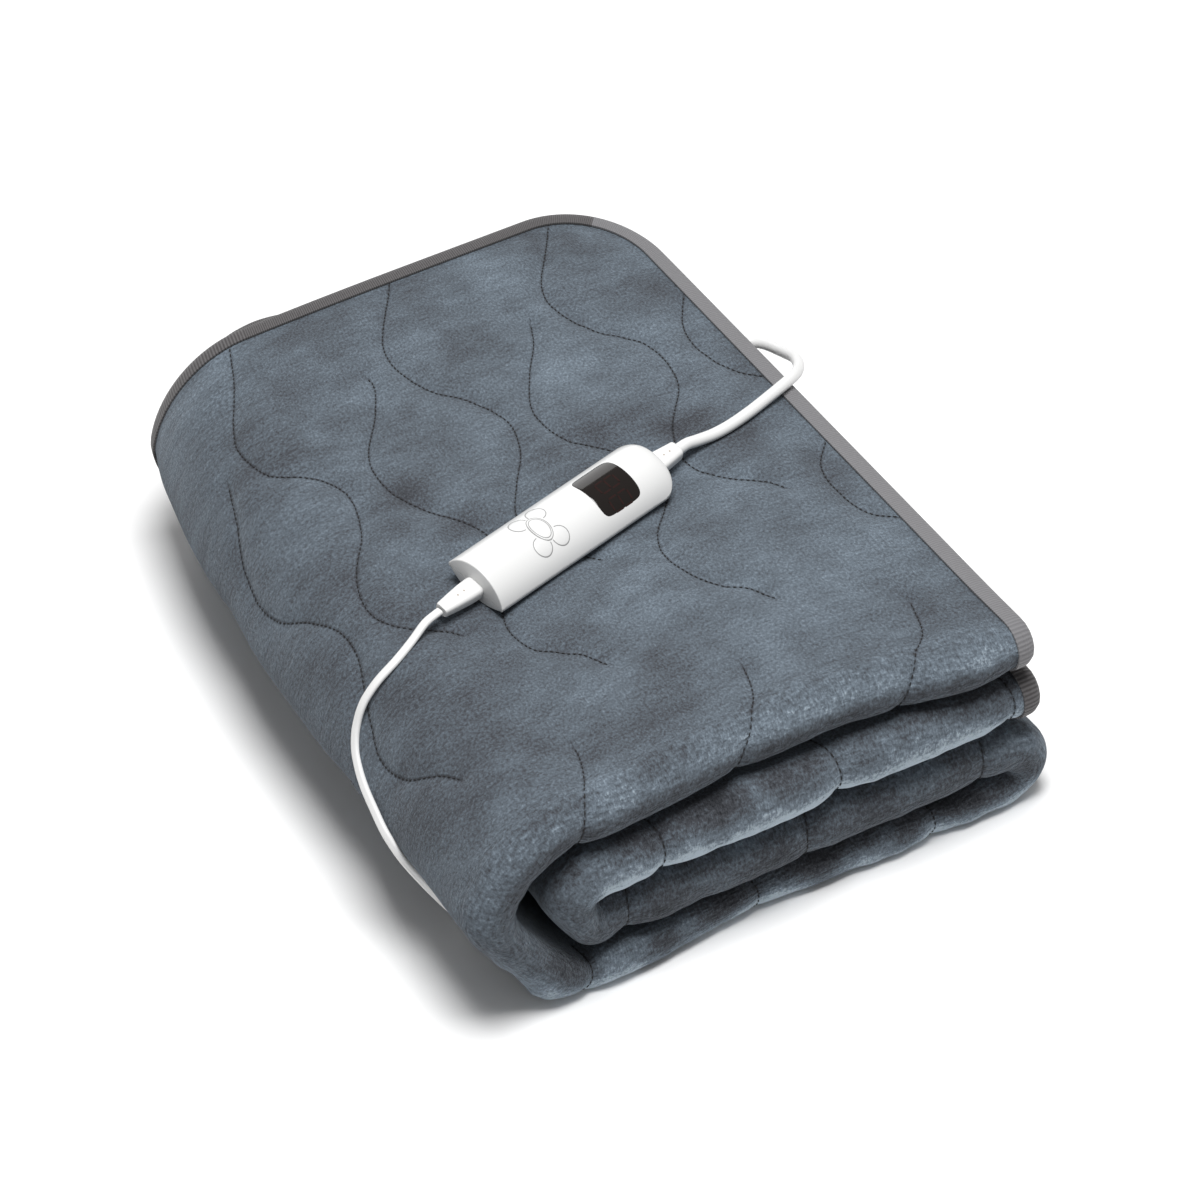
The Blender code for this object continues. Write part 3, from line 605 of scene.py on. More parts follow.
def make_blanket(finish):
    """The folded cloth: both faces and the rim between them, cut finer where it shows."""
    shape = grid(len(ALONG) - 1, len(ACROSS) - 1)
    for vertex in shape.verts:
        vertex.co.z = -1.0
    raised = bmesh.ops.extrude_face_region(shape, geom=shape.faces[:])["geom"]
    for item in raised:
        if isinstance(item, bmesh.types.BMVert):
            item.co.z = 1.0
    for cuts in (3, 1):
        edges = set()
        for face in shape.faces:
            if min(vertex.co.z for vertex in face.verts) < 0.5:
                continue
            middle = face.calc_center_median()
            if how_fine(at(ALONG, middle.x), at(ACROSS, middle.y)) == cuts and len(face.verts) == 4:
                edges.update(face.edges)
        bmesh.ops.subdivide_edges(shape, edges=list(edges), cuts=cuts, use_grid_fill=True)
    flat = shape.loops.layers.uv.new("flat")
    for face in shape.faces:
        for loop in face.loops:
            loop[flat].uv = (at(ALONG, loop.vert.co.x), at(ACROSS, loop.vert.co.y))
    line = shape.verts.layers.float.new("line")
    away = shape.verts.layers.float.new("away")
    bend = shape.verts.layers.float.new("bend")
    # The nap attribute holds the nap's tone together with painted sheen and shade.
    nap_and_painted_light = shape.verts.layers.float.new("nap_and_painted_light")
    for vertex in shape.verts:
        s, v, face = at(ALONG, vertex.co.x), at(ACROSS, vertex.co.y), vertex.co.z
        half = half_sheet(s, v)
        if face > 0:
            half += relief(s, v)
            distance = crease(s, v)
            vertex[line] = max(-0.01, min(0.01, distance)) if distance is not None else 0.01
            vertex[bend] = front_share(v)
            vertex[nap_and_painted_light] = nap_and_painted_light_tone(s, v)
        vertex[away] = abs(vertex[line]) if face > 0 else 0.01
        s, v = outline_point(s, v)
        vertex.co = folded(s, v, face * half)
    return finished("plush_cloth", shape, finish, sharp=80)


# Materials ----------------------------------------------------------------------------------------
class Paint:
    """A material's nodes, made one by one."""

    def __init__(self, name, colour, roughness, metallic=0.0):
        self.material = bpy.data.materials.new(name)
        self.material.use_nodes = True
        self.tree = self.material.node_tree
        self.shader = self.tree.nodes["Principled BSDF"]
        self.shader.inputs["Base Color"].default_value = (*colour, 1.0)
        self.shader.inputs["Roughness"].default_value = roughness
        self.shader.inputs["Metallic"].default_value = metallic

    def node(self, kind, **values):
        made = self.tree.nodes.new("ShaderNode" + kind)
        for key, value in values.items():
            if hasattr(made, key):
                setattr(made, key, value)
            else:
                self.put(made, key, value)
        return made

    def put(self, node, key, value):
        socket = node.inputs[int(key[3:])] if key.startswith("in_") else node.inputs[key.replace("_", " ")]
        if isinstance(value, bpy.types.NodeSocket):
            self.tree.links.new(value, socket)
        else:
            socket.default_value = value

    def math(self, operation, a, b=0.0, clamp=False):
        return self.node("Math", operation=operation, use_clamp=clamp, in_0=a, in_1=b).outputs[0]

    def noise(self, vector, scale, detail=2.0, roughness=0.5, distortion=0.0):
        made = self.node("TexNoise", Vector=vector, Scale=scale, Detail=detail, Roughness=roughness,
                         Distortion=distortion)
        return made.outputs["Fac"]

    def stretched(self, vector, scale):
        return self.node("Mapping", Vector=vector, Scale=scale).outputs[0]

    def ramp(self, factor, *stops):
        made = self.node("ValToRGB", Fac=factor)
        elements = made.color_ramp.elements
        while len(elements) < len(stops):
            elements.new(0.5)
        for element, (place, colour) in zip(elements, stops):
            element.position = place
            element.color = (*colour, 1.0) if hasattr(colour, "__len__") else (colour, colour, colour, 1.0)
        return made.outputs[0]

    def mixed(self, kind, factor, a, b):
        made = self.tree.nodes.new("ShaderNodeMix")
        made.data_type = "RGBA"
        made.blend_type = kind
        for index, value in ((0, factor), (6, a), (7, b)):
            if isinstance(value, bpy.types.NodeSocket):
                self.tree.links.new(value, made.inputs[index])
            else:
                made.inputs[index].default_value = value
        return made.outputs[2]

    def bump(self, height, distance, strength=1.0, normal=None):
        made = self.node("Bump", Height=height, Distance=distance, Strength=strength)
        if normal is not None:
            self.put(made, "Normal", normal)
        return made.outputs[0]

    def set(self, **values):
        for key, value in values.items():
            self.put(self.shader, key, value)


PLUSH_TONES = (
    (0.00, (0.018, 0.019, 0.022)),
    (0.28, (0.052, 0.055, 0.063)),
    (0.50, (0.095, 0.114, 0.135)),
    (0.72, (0.160, 0.196, 0.234)),
    (1.00, (0.400, 0.470, 0.530)),
)
# Painted shade along the quilting creases: its width, how far from a line it reaches, and how dark.
CREASE_WIDTH = 0.0013
CREASE_SIDE = 0.005
CREASE_PAINTED_SHADE = 0.15


def plush():
    """Short plush: nap brushed this way and that with painted sheen and shade on the folds and left side, a
    fine grain, and painted shade along the quilting.
    """
    p = Paint("plush", PLUSH_TONES[2][1], 0.95)
    flat = p.node("UVMap", uv_map="flat").outputs[0]
    # Nap tone with painted sheen and shade.
    nap_and_painted_light = p.node("Attribute", attribute_name="nap_and_painted_light").outputs["Fac"]
    strokes = p.noise(p.stretched(flat, (60.0, 150.0, 1.0)), 1.0, detail=3.0, roughness=0.6, distortion=0.6)
    grain = p.noise(p.stretched(flat, (600.0, 520.0, 1.0)), 1.0, detail=3.0, roughness=0.8)
    bend = p.node("Attribute", attribute_name="bend").outputs["Fac"]
    rows = p.noise(p.stretched(flat, (170.0, 640.0, 1.0)), 1.0, detail=1.5, roughness=0.6)
    rows = p.math("MULTIPLY", p.math("SUBTRACT", rows, 0.5), bend)
    tone = p.math("ADD", 0.5, p.math("MULTIPLY", nap_and_painted_light, 0.42))
    tone = p.math("ADD", tone, p.math("MULTIPLY", p.math("SUBTRACT", strokes, 0.5), 0.28))
    tone = p.math("ADD", tone, p.math("MULTIPLY", p.math("SUBTRACT", grain, 0.5), 1.15))
    tone = p.math("ADD", tone, p.math("MULTIPLY", rows, 0.48))
    line = p.math("ABSOLUTE", p.node("Attribute", attribute_name="line").outputs["Fac"])
    away = p.node("Attribute", attribute_name="away").outputs["Fac"]
    # Painted shade in a narrow band along each quilting line.
    beside = p.math("LESS_THAN", away, CREASE_SIDE)
    near = p.math("SUBTRACT", 1.0, p.math("DIVIDE", line, CREASE_WIDTH), clamp=True)
    near = p.math("MULTIPLY", near, beside)
    tone = p.math("SUBTRACT", tone, p.math("MULTIPLY", near, CREASE_PAINTED_SHADE))
    colour = p.ramp(tone, *PLUSH_TONES)
    height = p.math("ADD", p.math("MULTIPLY", grain, 0.0011), p.math("MULTIPLY", strokes, 0.0012))
    height = p.math("ADD", height, p.math("MULTIPLY", rows, 0.0020))
    height = p.math("SUBTRACT", height, p.math("MULTIPLY", near, 0.0006))
    p.set(Base_Color=colour, Normal=p.bump(height, 1.0, 0.8), Sheen_Weight=0.25, Sheen_Roughness=0.45,
          Sheen_Tint=(0.80, 0.90, 1.0, 1.0), Specular_IOR_Level=0.10)
    return p.material


# Painted sheen on the tape along the strip's first end: its tone, how much of it, and how fast it fades.
TAPE_SHEEN_TONE = (0.30, 0.30, 0.315, 1.0)
TAPE_SHEEN_SHARE = 0.45
TAPE_SHEEN_FADE = 0.08


def tape_weave():
    """Ribbed binding tape: ribs across it, close together, and a painted sheen that makes it paler along the
    strip's first end.
    """
    p = Paint("tape_weave", (0.09, 0.087, 0.088), 0.85)
    flat = p.node("UVMap", uv_map="flat").outputs[0]
    ribs = p.node("TexWave", Vector=flat, Scale=182.0, Distortion=0.5, Detail=1.0, bands_direction="X")
    ribs = ribs.outputs["Fac"]
    fleck = p.noise(p.stretched(flat, (500.0, 1400.0, 1.0)), 1.0, detail=2.0)
    tone = p.math("ADD", p.math("MULTIPLY", ribs, 0.55), p.math("MULTIPLY", fleck, 0.45))
    colour = p.ramp(tone, (0.25, (0.050, 0.046, 0.047)), (0.75, (0.112, 0.107, 0.109)))
    along = p.node("SeparateXYZ", Vector=flat).outputs[0]
    # Painted sheen: paler along the strip's first end.
    painted_sheen = p.math("DIVIDE", p.math("SUBTRACT", WIDTH, along), TAPE_SHEEN_FADE, clamp=True)
    colour = p.mixed("MIX", p.math("MULTIPLY", painted_sheen, TAPE_SHEEN_SHARE), colour, TAPE_SHEEN_TONE)
    height = p.math("ADD", p.math("MULTIPLY", ribs, 0.00035), p.math("MULTIPLY", fleck, 0.0002))
    p.set(Base_Color=colour, Normal=p.bump(height, 1.0, 0.9), Sheen_Weight=0.2, Specular_IOR_Level=0.3)
    return p.material


def plastic(name, colour, roughness, waviness=0.00002):
    """Moulded plastic: a little uneven in its gloss and its surface."""
    p = Paint(name, colour, roughness)
    place = p.node("TexCoord").outputs["Object"]
    wavy = p.noise(place, 60.0, detail=3.0)
    fine = p.noise(place, 1800.0, detail=1.0)
    rough = p.math("ADD", roughness - 0.04, p.math("MULTIPLY", wavy, 0.08))
    height = p.math("ADD", p.math("MULTIPLY", wavy, waviness * 4), p.math("MULTIPLY", fine, waviness))
    p.set(Roughness=rough, Normal=p.bump(height, 1.0, 0.6), Specular_IOR_Level=0.45)
    return p


def thread():
    p = Paint("thread", (0.010, 0.009, 0.009), 0.80)
    place = p.node("TexCoord").outputs["Object"]
    twist = p.noise(place, 2600.0, detail=1.0)
    p.set(Normal=p.bump(p.math("MULTIPLY", twist, 0.0002), 1.0, 0.6))
    return p.material


# Tubes, tape and plates ---------------------------------------------------------------------------
ROUTE_CUTS = 16
ROUTE_STEP = 0.003


def distances(points):
    """How far each point lies along a route."""
    lengths = [0.0]
    for before, after in zip(points, points[1:]):
        lengths.append(lengths[-1] + (after - before).length)
    return lengths


def closed(shape):
    """Join a grid's meeting edges and fill the ends that stay open."""
    bmesh.ops.remove_doubles(shape, verts=shape.verts, dist=1e-6)
    rim = [edge for edge in shape.edges if edge.is_boundary]
    if rim:
        bmesh.ops.holes_fill(shape, edges=rim, sides=0)


def smooth_route(points, spacing):
    """Points at even spacing along a smooth curve through a route's own points."""
    points = [Vector(point) for point in points]
    ends = [2 * points[0] - points[1]] + points + [2 * points[-1] - points[-2]]
    fine = []
    for a, b, c, d in zip(ends, ends[1:], ends[2:], ends[3:]):
        fine += [curve_point(a, b, c, d, step / ROUTE_CUTS) for step in range(ROUTE_CUTS)]
    fine.append(points[-1])
    lengths = distances(fine)
    count = max(2, round(lengths[-1] / spacing))
    even, place = [], 0
    for step in range(count + 1):
        wanted = lengths[-1] * step / count
        while place < len(lengths) - 2 and lengths[place + 1] < wanted:
            place += 1
        span = lengths[place + 1] - lengths[place]
        even.append(fine[place].lerp(fine[place + 1], (wanted - lengths[place]) / span))
    return even


def swept(name, path, section, finish, up=Vector((0, 0, 1))):
    """A closed tube: a section of points (side, up) carried along a path, its ends filled."""
    count = len(section)
    shape = grid(len(path) - 1, count)
    frames = []
    for k, point in enumerate(path):
        way = (path[min(k + 1, len(path) - 1)] - path[max(k - 1, 0)]).normalized()
        side = way.cross(up)
        side = side.normalized() if side.length > 1e-6 else Vector((1, 0, 0))
        up = side.cross(way).normalized()
        frames.append((point, side, up))
    lengths = distances(path)
    flat = shape.loops.layers.uv.new("flat")
    for face in shape.faces:
        for loop in face.loops:
            loop[flat].uv = (lengths[round(loop.vert.co.x)], loop.vert.co.y / count)
    for vertex in shape.verts:
        point, side, above = frames[round(vertex.co.x)]
        across, high = section[round(vertex.co.y) % count]
        vertex.co = point + side * across + above * high
    closed(shape)
    return finished(name, shape, finish, sharp=50)


def round_section(width, sides=20):
    turns = [math.tau * k / sides for k in range(sides)]
    return [(width / 2 * math.cos(turn), width / 2 * math.sin(turn)) for turn in turns]


GROOVE = 1.12


def twin_oval(width, height, sides=10):
    """The section of a flat lead: two cores side by side with a shallow groove between them."""
    radius = height / 2
    offset = width / 2 - radius
    reach = math.pi - GROOVE * math.acos(offset / radius)
    turns = [mix(-reach, reach, k / (sides - 1)) for k in range(sides)]
    right = [(offset + radius * math.cos(turn), radius * math.sin(turn)) for turn in turns]
    return right + [(-x, -y) for x, y in right]


TAPE_RING = 9                         # points on each side of the tape's nose
TAPE_LINING = 6
TAPE_STEP = 0.004
NOSE_ACROSS = 0.62
NOSE_LIFT = 0.80
TAPE_STAND = 0.0002
LINING_SHARE = 0.6
RIB_UV = 0.0012


def tape_places():
    """Stations round the cloth's rim, close together, with how far along the tape each one is."""
    corners = [(0.0, 0.0), (0.0, WIDTH), (LENGTH, WIDTH), (LENGTH, 0.0), (0.0, 0.0)]
    places, along = [], 0.0
    for (s0, v0), (s1, v1) in zip(corners, corners[1:]):
        span = abs(s1 - s0) + abs(v1 - v0)
        count = round(span / TAPE_STEP)
        for k in range(count):
            places.append((mix(s0, s1, k / count), mix(v0, v1, k / count), along + span * k / count))
        along += span
    return places + [(*corners[-1], along)]


def tape_frame(s, v):
    """The rim's place and the place at the tape's inner edge, both inside the rounded outline."""
    end, edge = min(s, LENGTH - s), min(v, WIDTH - v)
    along = max(end, edge)
    if along < CORNER_REACH:
        along = mix(TAPE_REACH, CORNER_REACH, along / CORNER_REACH)
        near_end, near_edge = (TAPE_REACH, along) if end < edge else (along, TAPE_REACH)
        if end == edge:
            near_end = near_edge = TAPE_REACH
    else:
        near_end, near_edge = (TAPE_REACH, edge) if end < edge else (end, TAPE_REACH)
    inner_s = near_end if s <= LENGTH / 2 else LENGTH - near_end
    inner_v = near_edge if v <= WIDTH / 2 else WIDTH - near_edge
    rim, inner = Vector(outline_point(s, v)), Vector(outline_point(inner_s, inner_v))
    low_rim = half_sheet(s, v) + TAPE_GAP
    low_inner = half_sheet(inner_s, inner_v) + TAPE_GAP
    return rim, inner, low_rim, low_inner


def tape_section(s, v):
    """The tape's closed C at one place: round nose outside, lining inside."""
    rim, inner, low_rim, low_inner = tape_frame(s, v)
    out = (rim - inner).normalized()
    reach = (rim - inner).length + TAPE_GAP + TAPE
    high = low_inner + TAPE + TAPE_STAND
    outer = []
    for k in range(-TAPE_RING, TAPE_RING + 1):
        angle = math.pi / 2 * (1 - abs(k) / TAPE_RING)
        across = math.sin(angle) ** NOSE_ACROSS
        lift = math.cos(angle) ** NOSE_LIFT
        outer.append((inner + out * reach * across, math.copysign(high * lift, k) if k else 0.0))
    groove = rim + out * TAPE_GAP
    low = min(low_rim, high - TAPE)
    deep = low * LINING_SHARE
    lining = [(inner, low_inner), (rim, low), (groove, deep)]
    lining += [(flat, -w) for flat, w in reversed(lining)]
    return [folded(flat.x, flat.y, w) for flat, w in outer + lining]


def make_binding(finish):
    places = tape_places()
    count = 2 * TAPE_RING + 1 + TAPE_LINING
    shape = grid(len(places) - 1, count)
    flat = shape.loops.layers.uv.new("flat")
    for face in shape.faces:
        for loop in face.loops:
            loop[flat].uv = (places[round(loop.vert.co.x)][2], loop.vert.co.y * RIB_UV)
    rings = [tape_section(*place[:2]) for place in places]
    for vertex in shape.verts:
        vertex.co = rings[round(vertex.co.x)][round(vertex.co.y) % count]
    closed(shape)
    return finished("edge_tape", shape, finish, sharp=60)


STITCH_PITCH = 0.0035
STITCH_LENGTH = 0.0024
STITCH_WIDTH = 0.0009
STITCH_HEIGHT = 0.0008
STITCH_LIFT = (0.00015, 0.00055)      # at a stitch's ends and at its middle
STITCH_MARGIN = 0.001
STITCH_STRETCH = 1.05


def make_stitches(finish):
    """Every stitch of the quilting as a short bar of thread, sunk in its crease."""
    shape = bmesh.new()
    for line in QUILT:
        travelled, wanted = 0.0, STITCH_PITCH
        for a, b in zip(line, line[1:]):
            span = (b - a).length
            while span > 0 and travelled + span >= wanted:
                t = (wanted - travelled) / span
                place = a.lerp(b, t)
                wanted += STITCH_PITCH
                if edge_distance(place.x, place.y) < TAPE_REACH + STITCH_MARGIN:
                    continue
                way = (b - a).normalized() * STITCH_LENGTH / 2
                add_stitch(shape, place - way, place + way)
            travelled += span
    return finished("quilt_thread", shape, finish)


def on_cloth(flat, lift):
    s, v = outline_point(flat.x, flat.y)
    return folded(s, v, half_sheet(flat.x, flat.y) + relief(flat.x, flat.y) + lift)


def add_stitch(shape, start, finish):
    low, high = on_cloth(start, STITCH_LIFT[0]), on_cloth(finish, STITCH_LIFT[0])
    middle = on_cloth((start + finish) / 2, STITCH_LIFT[1])
    out = (middle - on_cloth((start + finish) / 2, -0.001)).normalized()
    way = high - low
    side = way.cross(out).normalized()
    turn = Matrix((way.normalized(), side, out)).transposed().to_4x4()
    size = Matrix.Diagonal((way.length * STITCH_STRETCH, STITCH_WIDTH, STITCH_HEIGHT, 1.0))
    place = Matrix.Translation(middle) @ turn
    bmesh.ops.create_icosphere(shape, subdivisions=1, radius=0.5, matrix=place @ size)


# Hand control -------------------------------------------------------------------------------------
CONTROL_EDGE = 0.0010
CONTROL_NOSE = 0.0115
NOSE_LENGTH = 0.0170
NOSE_HEIGHT = 0.60
NOSE_START = -0.005
NOSE_POWERS = (2.4, 3.0)              # of its curve downwards and of its outline
SHELL_CELLS = (60, 28)
SHELL_SEAM = 0.00015
RIDGE_ANGLE = 0.8
RIDGE_LOW = 0.0006
RIDGE_ROUND = 0.0007
WINDOW = (0.0320, 0.0335)
WINDOW_POWER = 7.0
WINDOW_PLACE = (0.0325, 0.0)
KEYPAD_PLACE = (-0.0240, 0.0010)
OVAL = (0.0062, 0.0098)
OVAL_RISE = 0.0003
INNER_OVAL = 0.84
KEY_OFFSET = (0.0072, 0.0105)
KEY_CORNERS = ((1, 1), (-1, 1), (-1, -1), (1, -1))
KEY_RADIUS = 0.0060
RING_WIDTH = 0.00058
RING_HEIGHT = 0.00012
RING_SIDES = 5
KEY_LINE_LIFT = 0.00012
OVAL_LINE_LIFTS = (0.00034, 0.00046)
KEY_ARC = 0.37                        # how far a key's outline runs to each side, as a share of a turn
PANE_PROFILE = tuple((k / 14, 0.00010) for k in range(14)) + (
    (0.985, 0.00009), (1.0, -0.00008), (1.0, -0.0012), (0.0, -0.0012))
KEY_PROFILE = ((0.0, 0.00034), (0.3, 0.00034), (0.55, 0.00030), (0.75, 0.00022), (0.90, 0.00012),
               (1.0, 0.00002), (1.0, -0.0010), (0.5, -0.0010), (0.0, -0.0010))


def control_frame():
    turn = Matrix.Rotation(CONTROL_TURN, 4, "Z") @ Matrix.Rotation(CONTROL_ROLL, 4, "X")
    return Matrix.Translation(CONTROL) @ turn


def dome_radius(rise):
    half, bulge = CONTROL_WIDTH / 2, rise - CONTROL_EDGE
    return (half ** 2 + bulge ** 2) / (2 * bulge)


def lens_height(b, rise):
    """Height of the housing's dome at a place across it."""
    radius = dome_radius(rise)
    return CONTROL_EDGE + math.sqrt(max(radius ** 2 - b ** 2, 0.0)) - (radius - (rise - CONTROL_EDGE))


def key_place(a, b):
    return KEYPAD_PLACE[0] + KEY_OFFSET[0] * a, KEYPAD_PLACE[1] + KEY_OFFSET[1] * b


def place_in_control(piece):
    piece.data.transform(control_frame())
    return piece


def make_shell(name, rise, way, finish):
    """One half of the housing, domed across, its far end rounded and drawn down."""
    columns, rows = SHELL_CELLS
    half = CONTROL_WIDTH / 2
    shape = grid(columns, rows)
    for vertex in shape.verts:
        b = half * math.sin(math.pi / 2 * (2 * vertex.co.y / rows - 1))
        t = vertex.co.x / columns
        t = t if t < 0.5 else 1 - 2 * (1 - t) ** 2
        along = mix(-CONTROL_LENGTH / 2, CONTROL_LENGTH / 2, t)
        drawn = max(0.0, (along - CONTROL_LENGTH / 2 + NOSE_LENGTH) / NOSE_LENGTH)
        height = 1 - (1 - NOSE_HEIGHT) * (1 - math.sqrt(max(0.0, 1 - drawn ** NOSE_POWERS[0])))
        nose = CONTROL_NOSE * (1 - math.sqrt(max(0.0, 1 - abs(b / half) ** NOSE_POWERS[1])))
        nose *= smooth((along - NOSE_START) / (CONTROL_LENGTH / 2 + NOSE_START))
        z = CONTROL_EDGE + (lens_height(b, rise) - CONTROL_EDGE) * height
        vertex.co = (along - nose, b, way * z)
    raised = bmesh.ops.extrude_face_region(shape, geom=shape.faces[:])["geom"]
    for item in raised:
        if isinstance(item, bmesh.types.BMVert):
            item.co.z = way * SHELL_SEAM
    ridges = [edge for edge in shape.edges if len(edge.link_faces) == 2 and
              edge.calc_face_angle(0) > RIDGE_ANGLE and max(abs(v.co.z) for v in edge.verts) > RIDGE_LOW]
    bmesh.ops.bevel(shape, geom=ridges, offset=RIDGE_ROUND, offset_type="OFFSET", segments=3, profile=0.5,
                    affect="EDGES", material=-1)
    return place_in_control(finished(name, shape, finish, sharp=50))


def box_radius(length, width, power, angle):
    """Distance from the middle of a rounded rectangle to its outline in one direction."""
    along, across = abs(math.cos(angle)) / (length / 2), abs(math.sin(angle)) / (width / 2)
    return (along ** power + across ** power) ** (-1 / power)


def window_reach(angle):
    return box_radius(*WINDOW, WINDOW_POWER, angle)


def key_reach(angle):
    return KEY_RADIUS


def oval_reach(angle):
    return box_radius(2 * OVAL[0], 2 * OVAL[1], 2.0, angle)


def inner_oval_reach(angle):
    return oval_reach(angle) * INNER_OVAL


def dome_disc(name, centre, reach, profile, finish, sides=64):
    """A disc that follows the cover's dome: reach gives its outline, profile (share, height) its section."""
    rings = len(profile)
    shape = grid(sides, rings - 1)
    for vertex in shape.verts:
        angle = math.tau * vertex.co.x / sides
        share, height = profile[round(vertex.co.y)]
        radius = reach(angle) * share
        a, b = centre[0] + radius * math.cos(angle), centre[1] + radius * math.sin(angle)
        vertex.co = (a, b, lens_height(b, CONTROL_RISE) + height)
    closed(shape)
    return place_in_control(finished(name, shape, finish, sharp=60))


def make_control(white, smoked, soft):
    base = make_shell("control_shell_low", CONTROL_DROP, -1, white)
    cover = make_shell("control_shell_top", CONTROL_RISE, 1, white)
    window = dome_disc("display_pane", WINDOW_PLACE, window_reach, PANE_PROFILE, smoked, sides=96)
    keys = []
    for number, corner in enumerate(KEY_CORNERS, 1):
        keys.append(dome_disc(f"key_{number}", key_place(*corner), key_reach, KEY_PROFILE, soft, sides=48))
    raised = [(share, height + OVAL_RISE) for share, height in KEY_PROFILE]
    keys.append(dome_disc("key_oval", KEYPAD_PLACE, oval_reach, raised, soft))
    return base, cover, window, keys


def dome_ring(shape, centre, reach, height, start=0.0, finish=1.0, sides=56):
    """A thin raised line round a key, added to a shape in the control's own frame."""
    strip = grid(sides, RING_SIDES)
    for vertex in strip.verts:
        angle = math.tau * mix(start, finish, vertex.co.x / sides)
        turn = math.tau * round(vertex.co.y) / RING_SIDES
        radius = reach(angle) + RING_WIDTH / 2 * math.cos(turn)
        a, b = centre[0] + radius * math.cos(angle), centre[1] + radius * math.sin(angle)
        vertex.co = (a, b, lens_height(b, CONTROL_RISE) + height + RING_HEIGHT * math.sin(turn))
    closed(strip)
    joined(shape, strip)


def joined(shape, part):
    """Put a second bmesh into the first."""
    mesh = bpy.data.meshes.new("part")
    part.to_mesh(mesh)
    part.free()
    shape.from_mesh(mesh)
    bpy.data.meshes.remove(mesh)


def make_key_lines(finish):
    """The moulded outlines, grey for painted shade: two round the oval key, one round each of the keys that
    it overlaps.
    """
    shape = bmesh.new()
    for a, b in KEY_CORNERS:
        facing = math.atan2(b, a) / math.tau
        dome_ring(shape, key_place(a, b), key_reach, KEY_LINE_LIFT, facing - KEY_ARC, facing + KEY_ARC)
    for reach, lift in zip((oval_reach, inner_oval_reach), OVAL_LINE_LIFTS):
        dome_ring(shape, KEYPAD_PLACE, reach, lift)
    return place_in_control(finished("key_lines", shape, finish))


DIGIT = (0.0150, 0.0080)
DIGIT_BAR = 0.0011
DIGIT_GAP = 0.0016
DIGIT_LIFT = 0.00007
DIGIT_THICK = 0.0001
DIGIT_PLACES = (0.0, -0.0124)


def make_digits(finish):
    """Unlit segments of the display's figures, seen through the pane; they read across the control."""
    shape = bmesh.new()
    half, side = DIGIT[0] / 2, DIGIT[1] / 2
    bars = [(a, 0.0, DIGIT_BAR, DIGIT[1] - DIGIT_GAP) for a in (-half, 0.0, half)]
    bars += [(a, b, half - DIGIT_GAP, DIGIT_BAR) for a in (-half / 2, half / 2) for b in (-side, side)]
    for across in DIGIT_PLACES:
        for a, b, length, width in bars:
            a, b = WINDOW_PLACE[0] + a, across + b
            slope = math.asin(max(-1.0, min(1.0, b / dome_radius(CONTROL_RISE))))
            place = Matrix.Translation((a, b, lens_height(b, CONTROL_RISE) + DIGIT_LIFT))
            size = Matrix.Diagonal((length, width, DIGIT_THICK, 1.0))
            bmesh.ops.create_cube(shape, size=1.0, matrix=place @ Matrix.Rotation(-slope, 4, "X") @ size)
    return place_in_control(finished("display_figures", shape, finish))


# Leads --------------------------------------------------------------------------------------------
BLANKET_LEAD = 0.0075
MAINS_WIDTH = 0.0055
MAINS_HEIGHT = 0.0037
BLANKET_LEAD_ROUTE = (
    (0.0818, -0.0128, 0.1546), (0.0895, -0.0109, 0.1545), (0.0970, -0.0102, 0.1532),
    (0.1098, -0.0092, 0.1516), (0.1235, -0.0075, 0.1517), (0.1406, -0.0035, 0.1522),
    (0.1580, 0.0025, 0.1518), (0.1738, 0.0086, 0.1510), (0.1858, 0.0151, 0.1484),
    (0.1970, 0.0280, 0.1405), (0.2085, 0.0489, 0.1270), (0.2157, 0.0715, 0.1120),
    (0.2178, 0.0835, 0.1053), (0.2180, 0.0930, 0.1013), (0.2155, 0.1010, 0.0990),
    (0.2094, 0.1067, 0.0980), (0.2016, 0.1088, 0.0979),
)
MAINS_ROUTE = (
    (-0.1150, -0.0615, 0.1546), (-0.1205, -0.0628, 0.1542), (-0.1275, -0.0645, 0.1526),
    (-0.1386, -0.0687, 0.1474), (-0.1527, -0.0747, 0.1438), (-0.1677, -0.0781, 0.1370),
    (-0.1788, -0.0803, 0.1268), (-0.1856, -0.0835, 0.1148), (-0.1904, -0.0895, 0.1056),
    (-0.1940, -0.0987, 0.0990), (-0.1972, -0.1115, 0.0935), (-0.2002, -0.1285, 0.0900),
    (-0.2018, -0.1445, 0.0840), (-0.2028, -0.1575, 0.0730), (-0.2018, -0.1680, 0.0580),
    (-0.1977, -0.1745, 0.0420), (-0.1882, -0.1765, 0.0260), (-0.1744, -0.1725, 0.0125),
    (-0.1640, -0.1625, 0.0054), (-0.1598, -0.1485, 0.0026), (-0.1582, -0.1325, 0.0026),
    (-0.1568, -0.0975, 0.0026), (-0.1550, -0.0475, 0.0026), (-0.1525, 0.0025, 0.0026),
    (-0.1488, 0.0525, 0.0026), (-0.1432, 0.1025, 0.0026), (-0.1353, 0.1525, 0.0026),
    (-0.1252, 0.1975, 0.0026), (-0.1170, 0.2275, 0.0026), (-0.1060, 0.2505, 0.0026),
    (-0.0880, 0.2625, 0.0026), (-0.0620, 0.2643, 0.0026), (-0.0320, 0.2643, 0.0026),
    (-0.0020, 0.2645, 0.0026),
)
TAIL_ROUTE = (
    (0.0380, 0.2645, 0.0076), (0.0466, 0.2649, 0.0070), (0.0560, 0.2665, 0.0044),
    (0.0660, 0.2687, 0.0028), (0.0760, 0.2705, 0.0036), (0.0860, 0.2713, 0.0060),
    (0.0937, 0.2715, 0.0069),
)
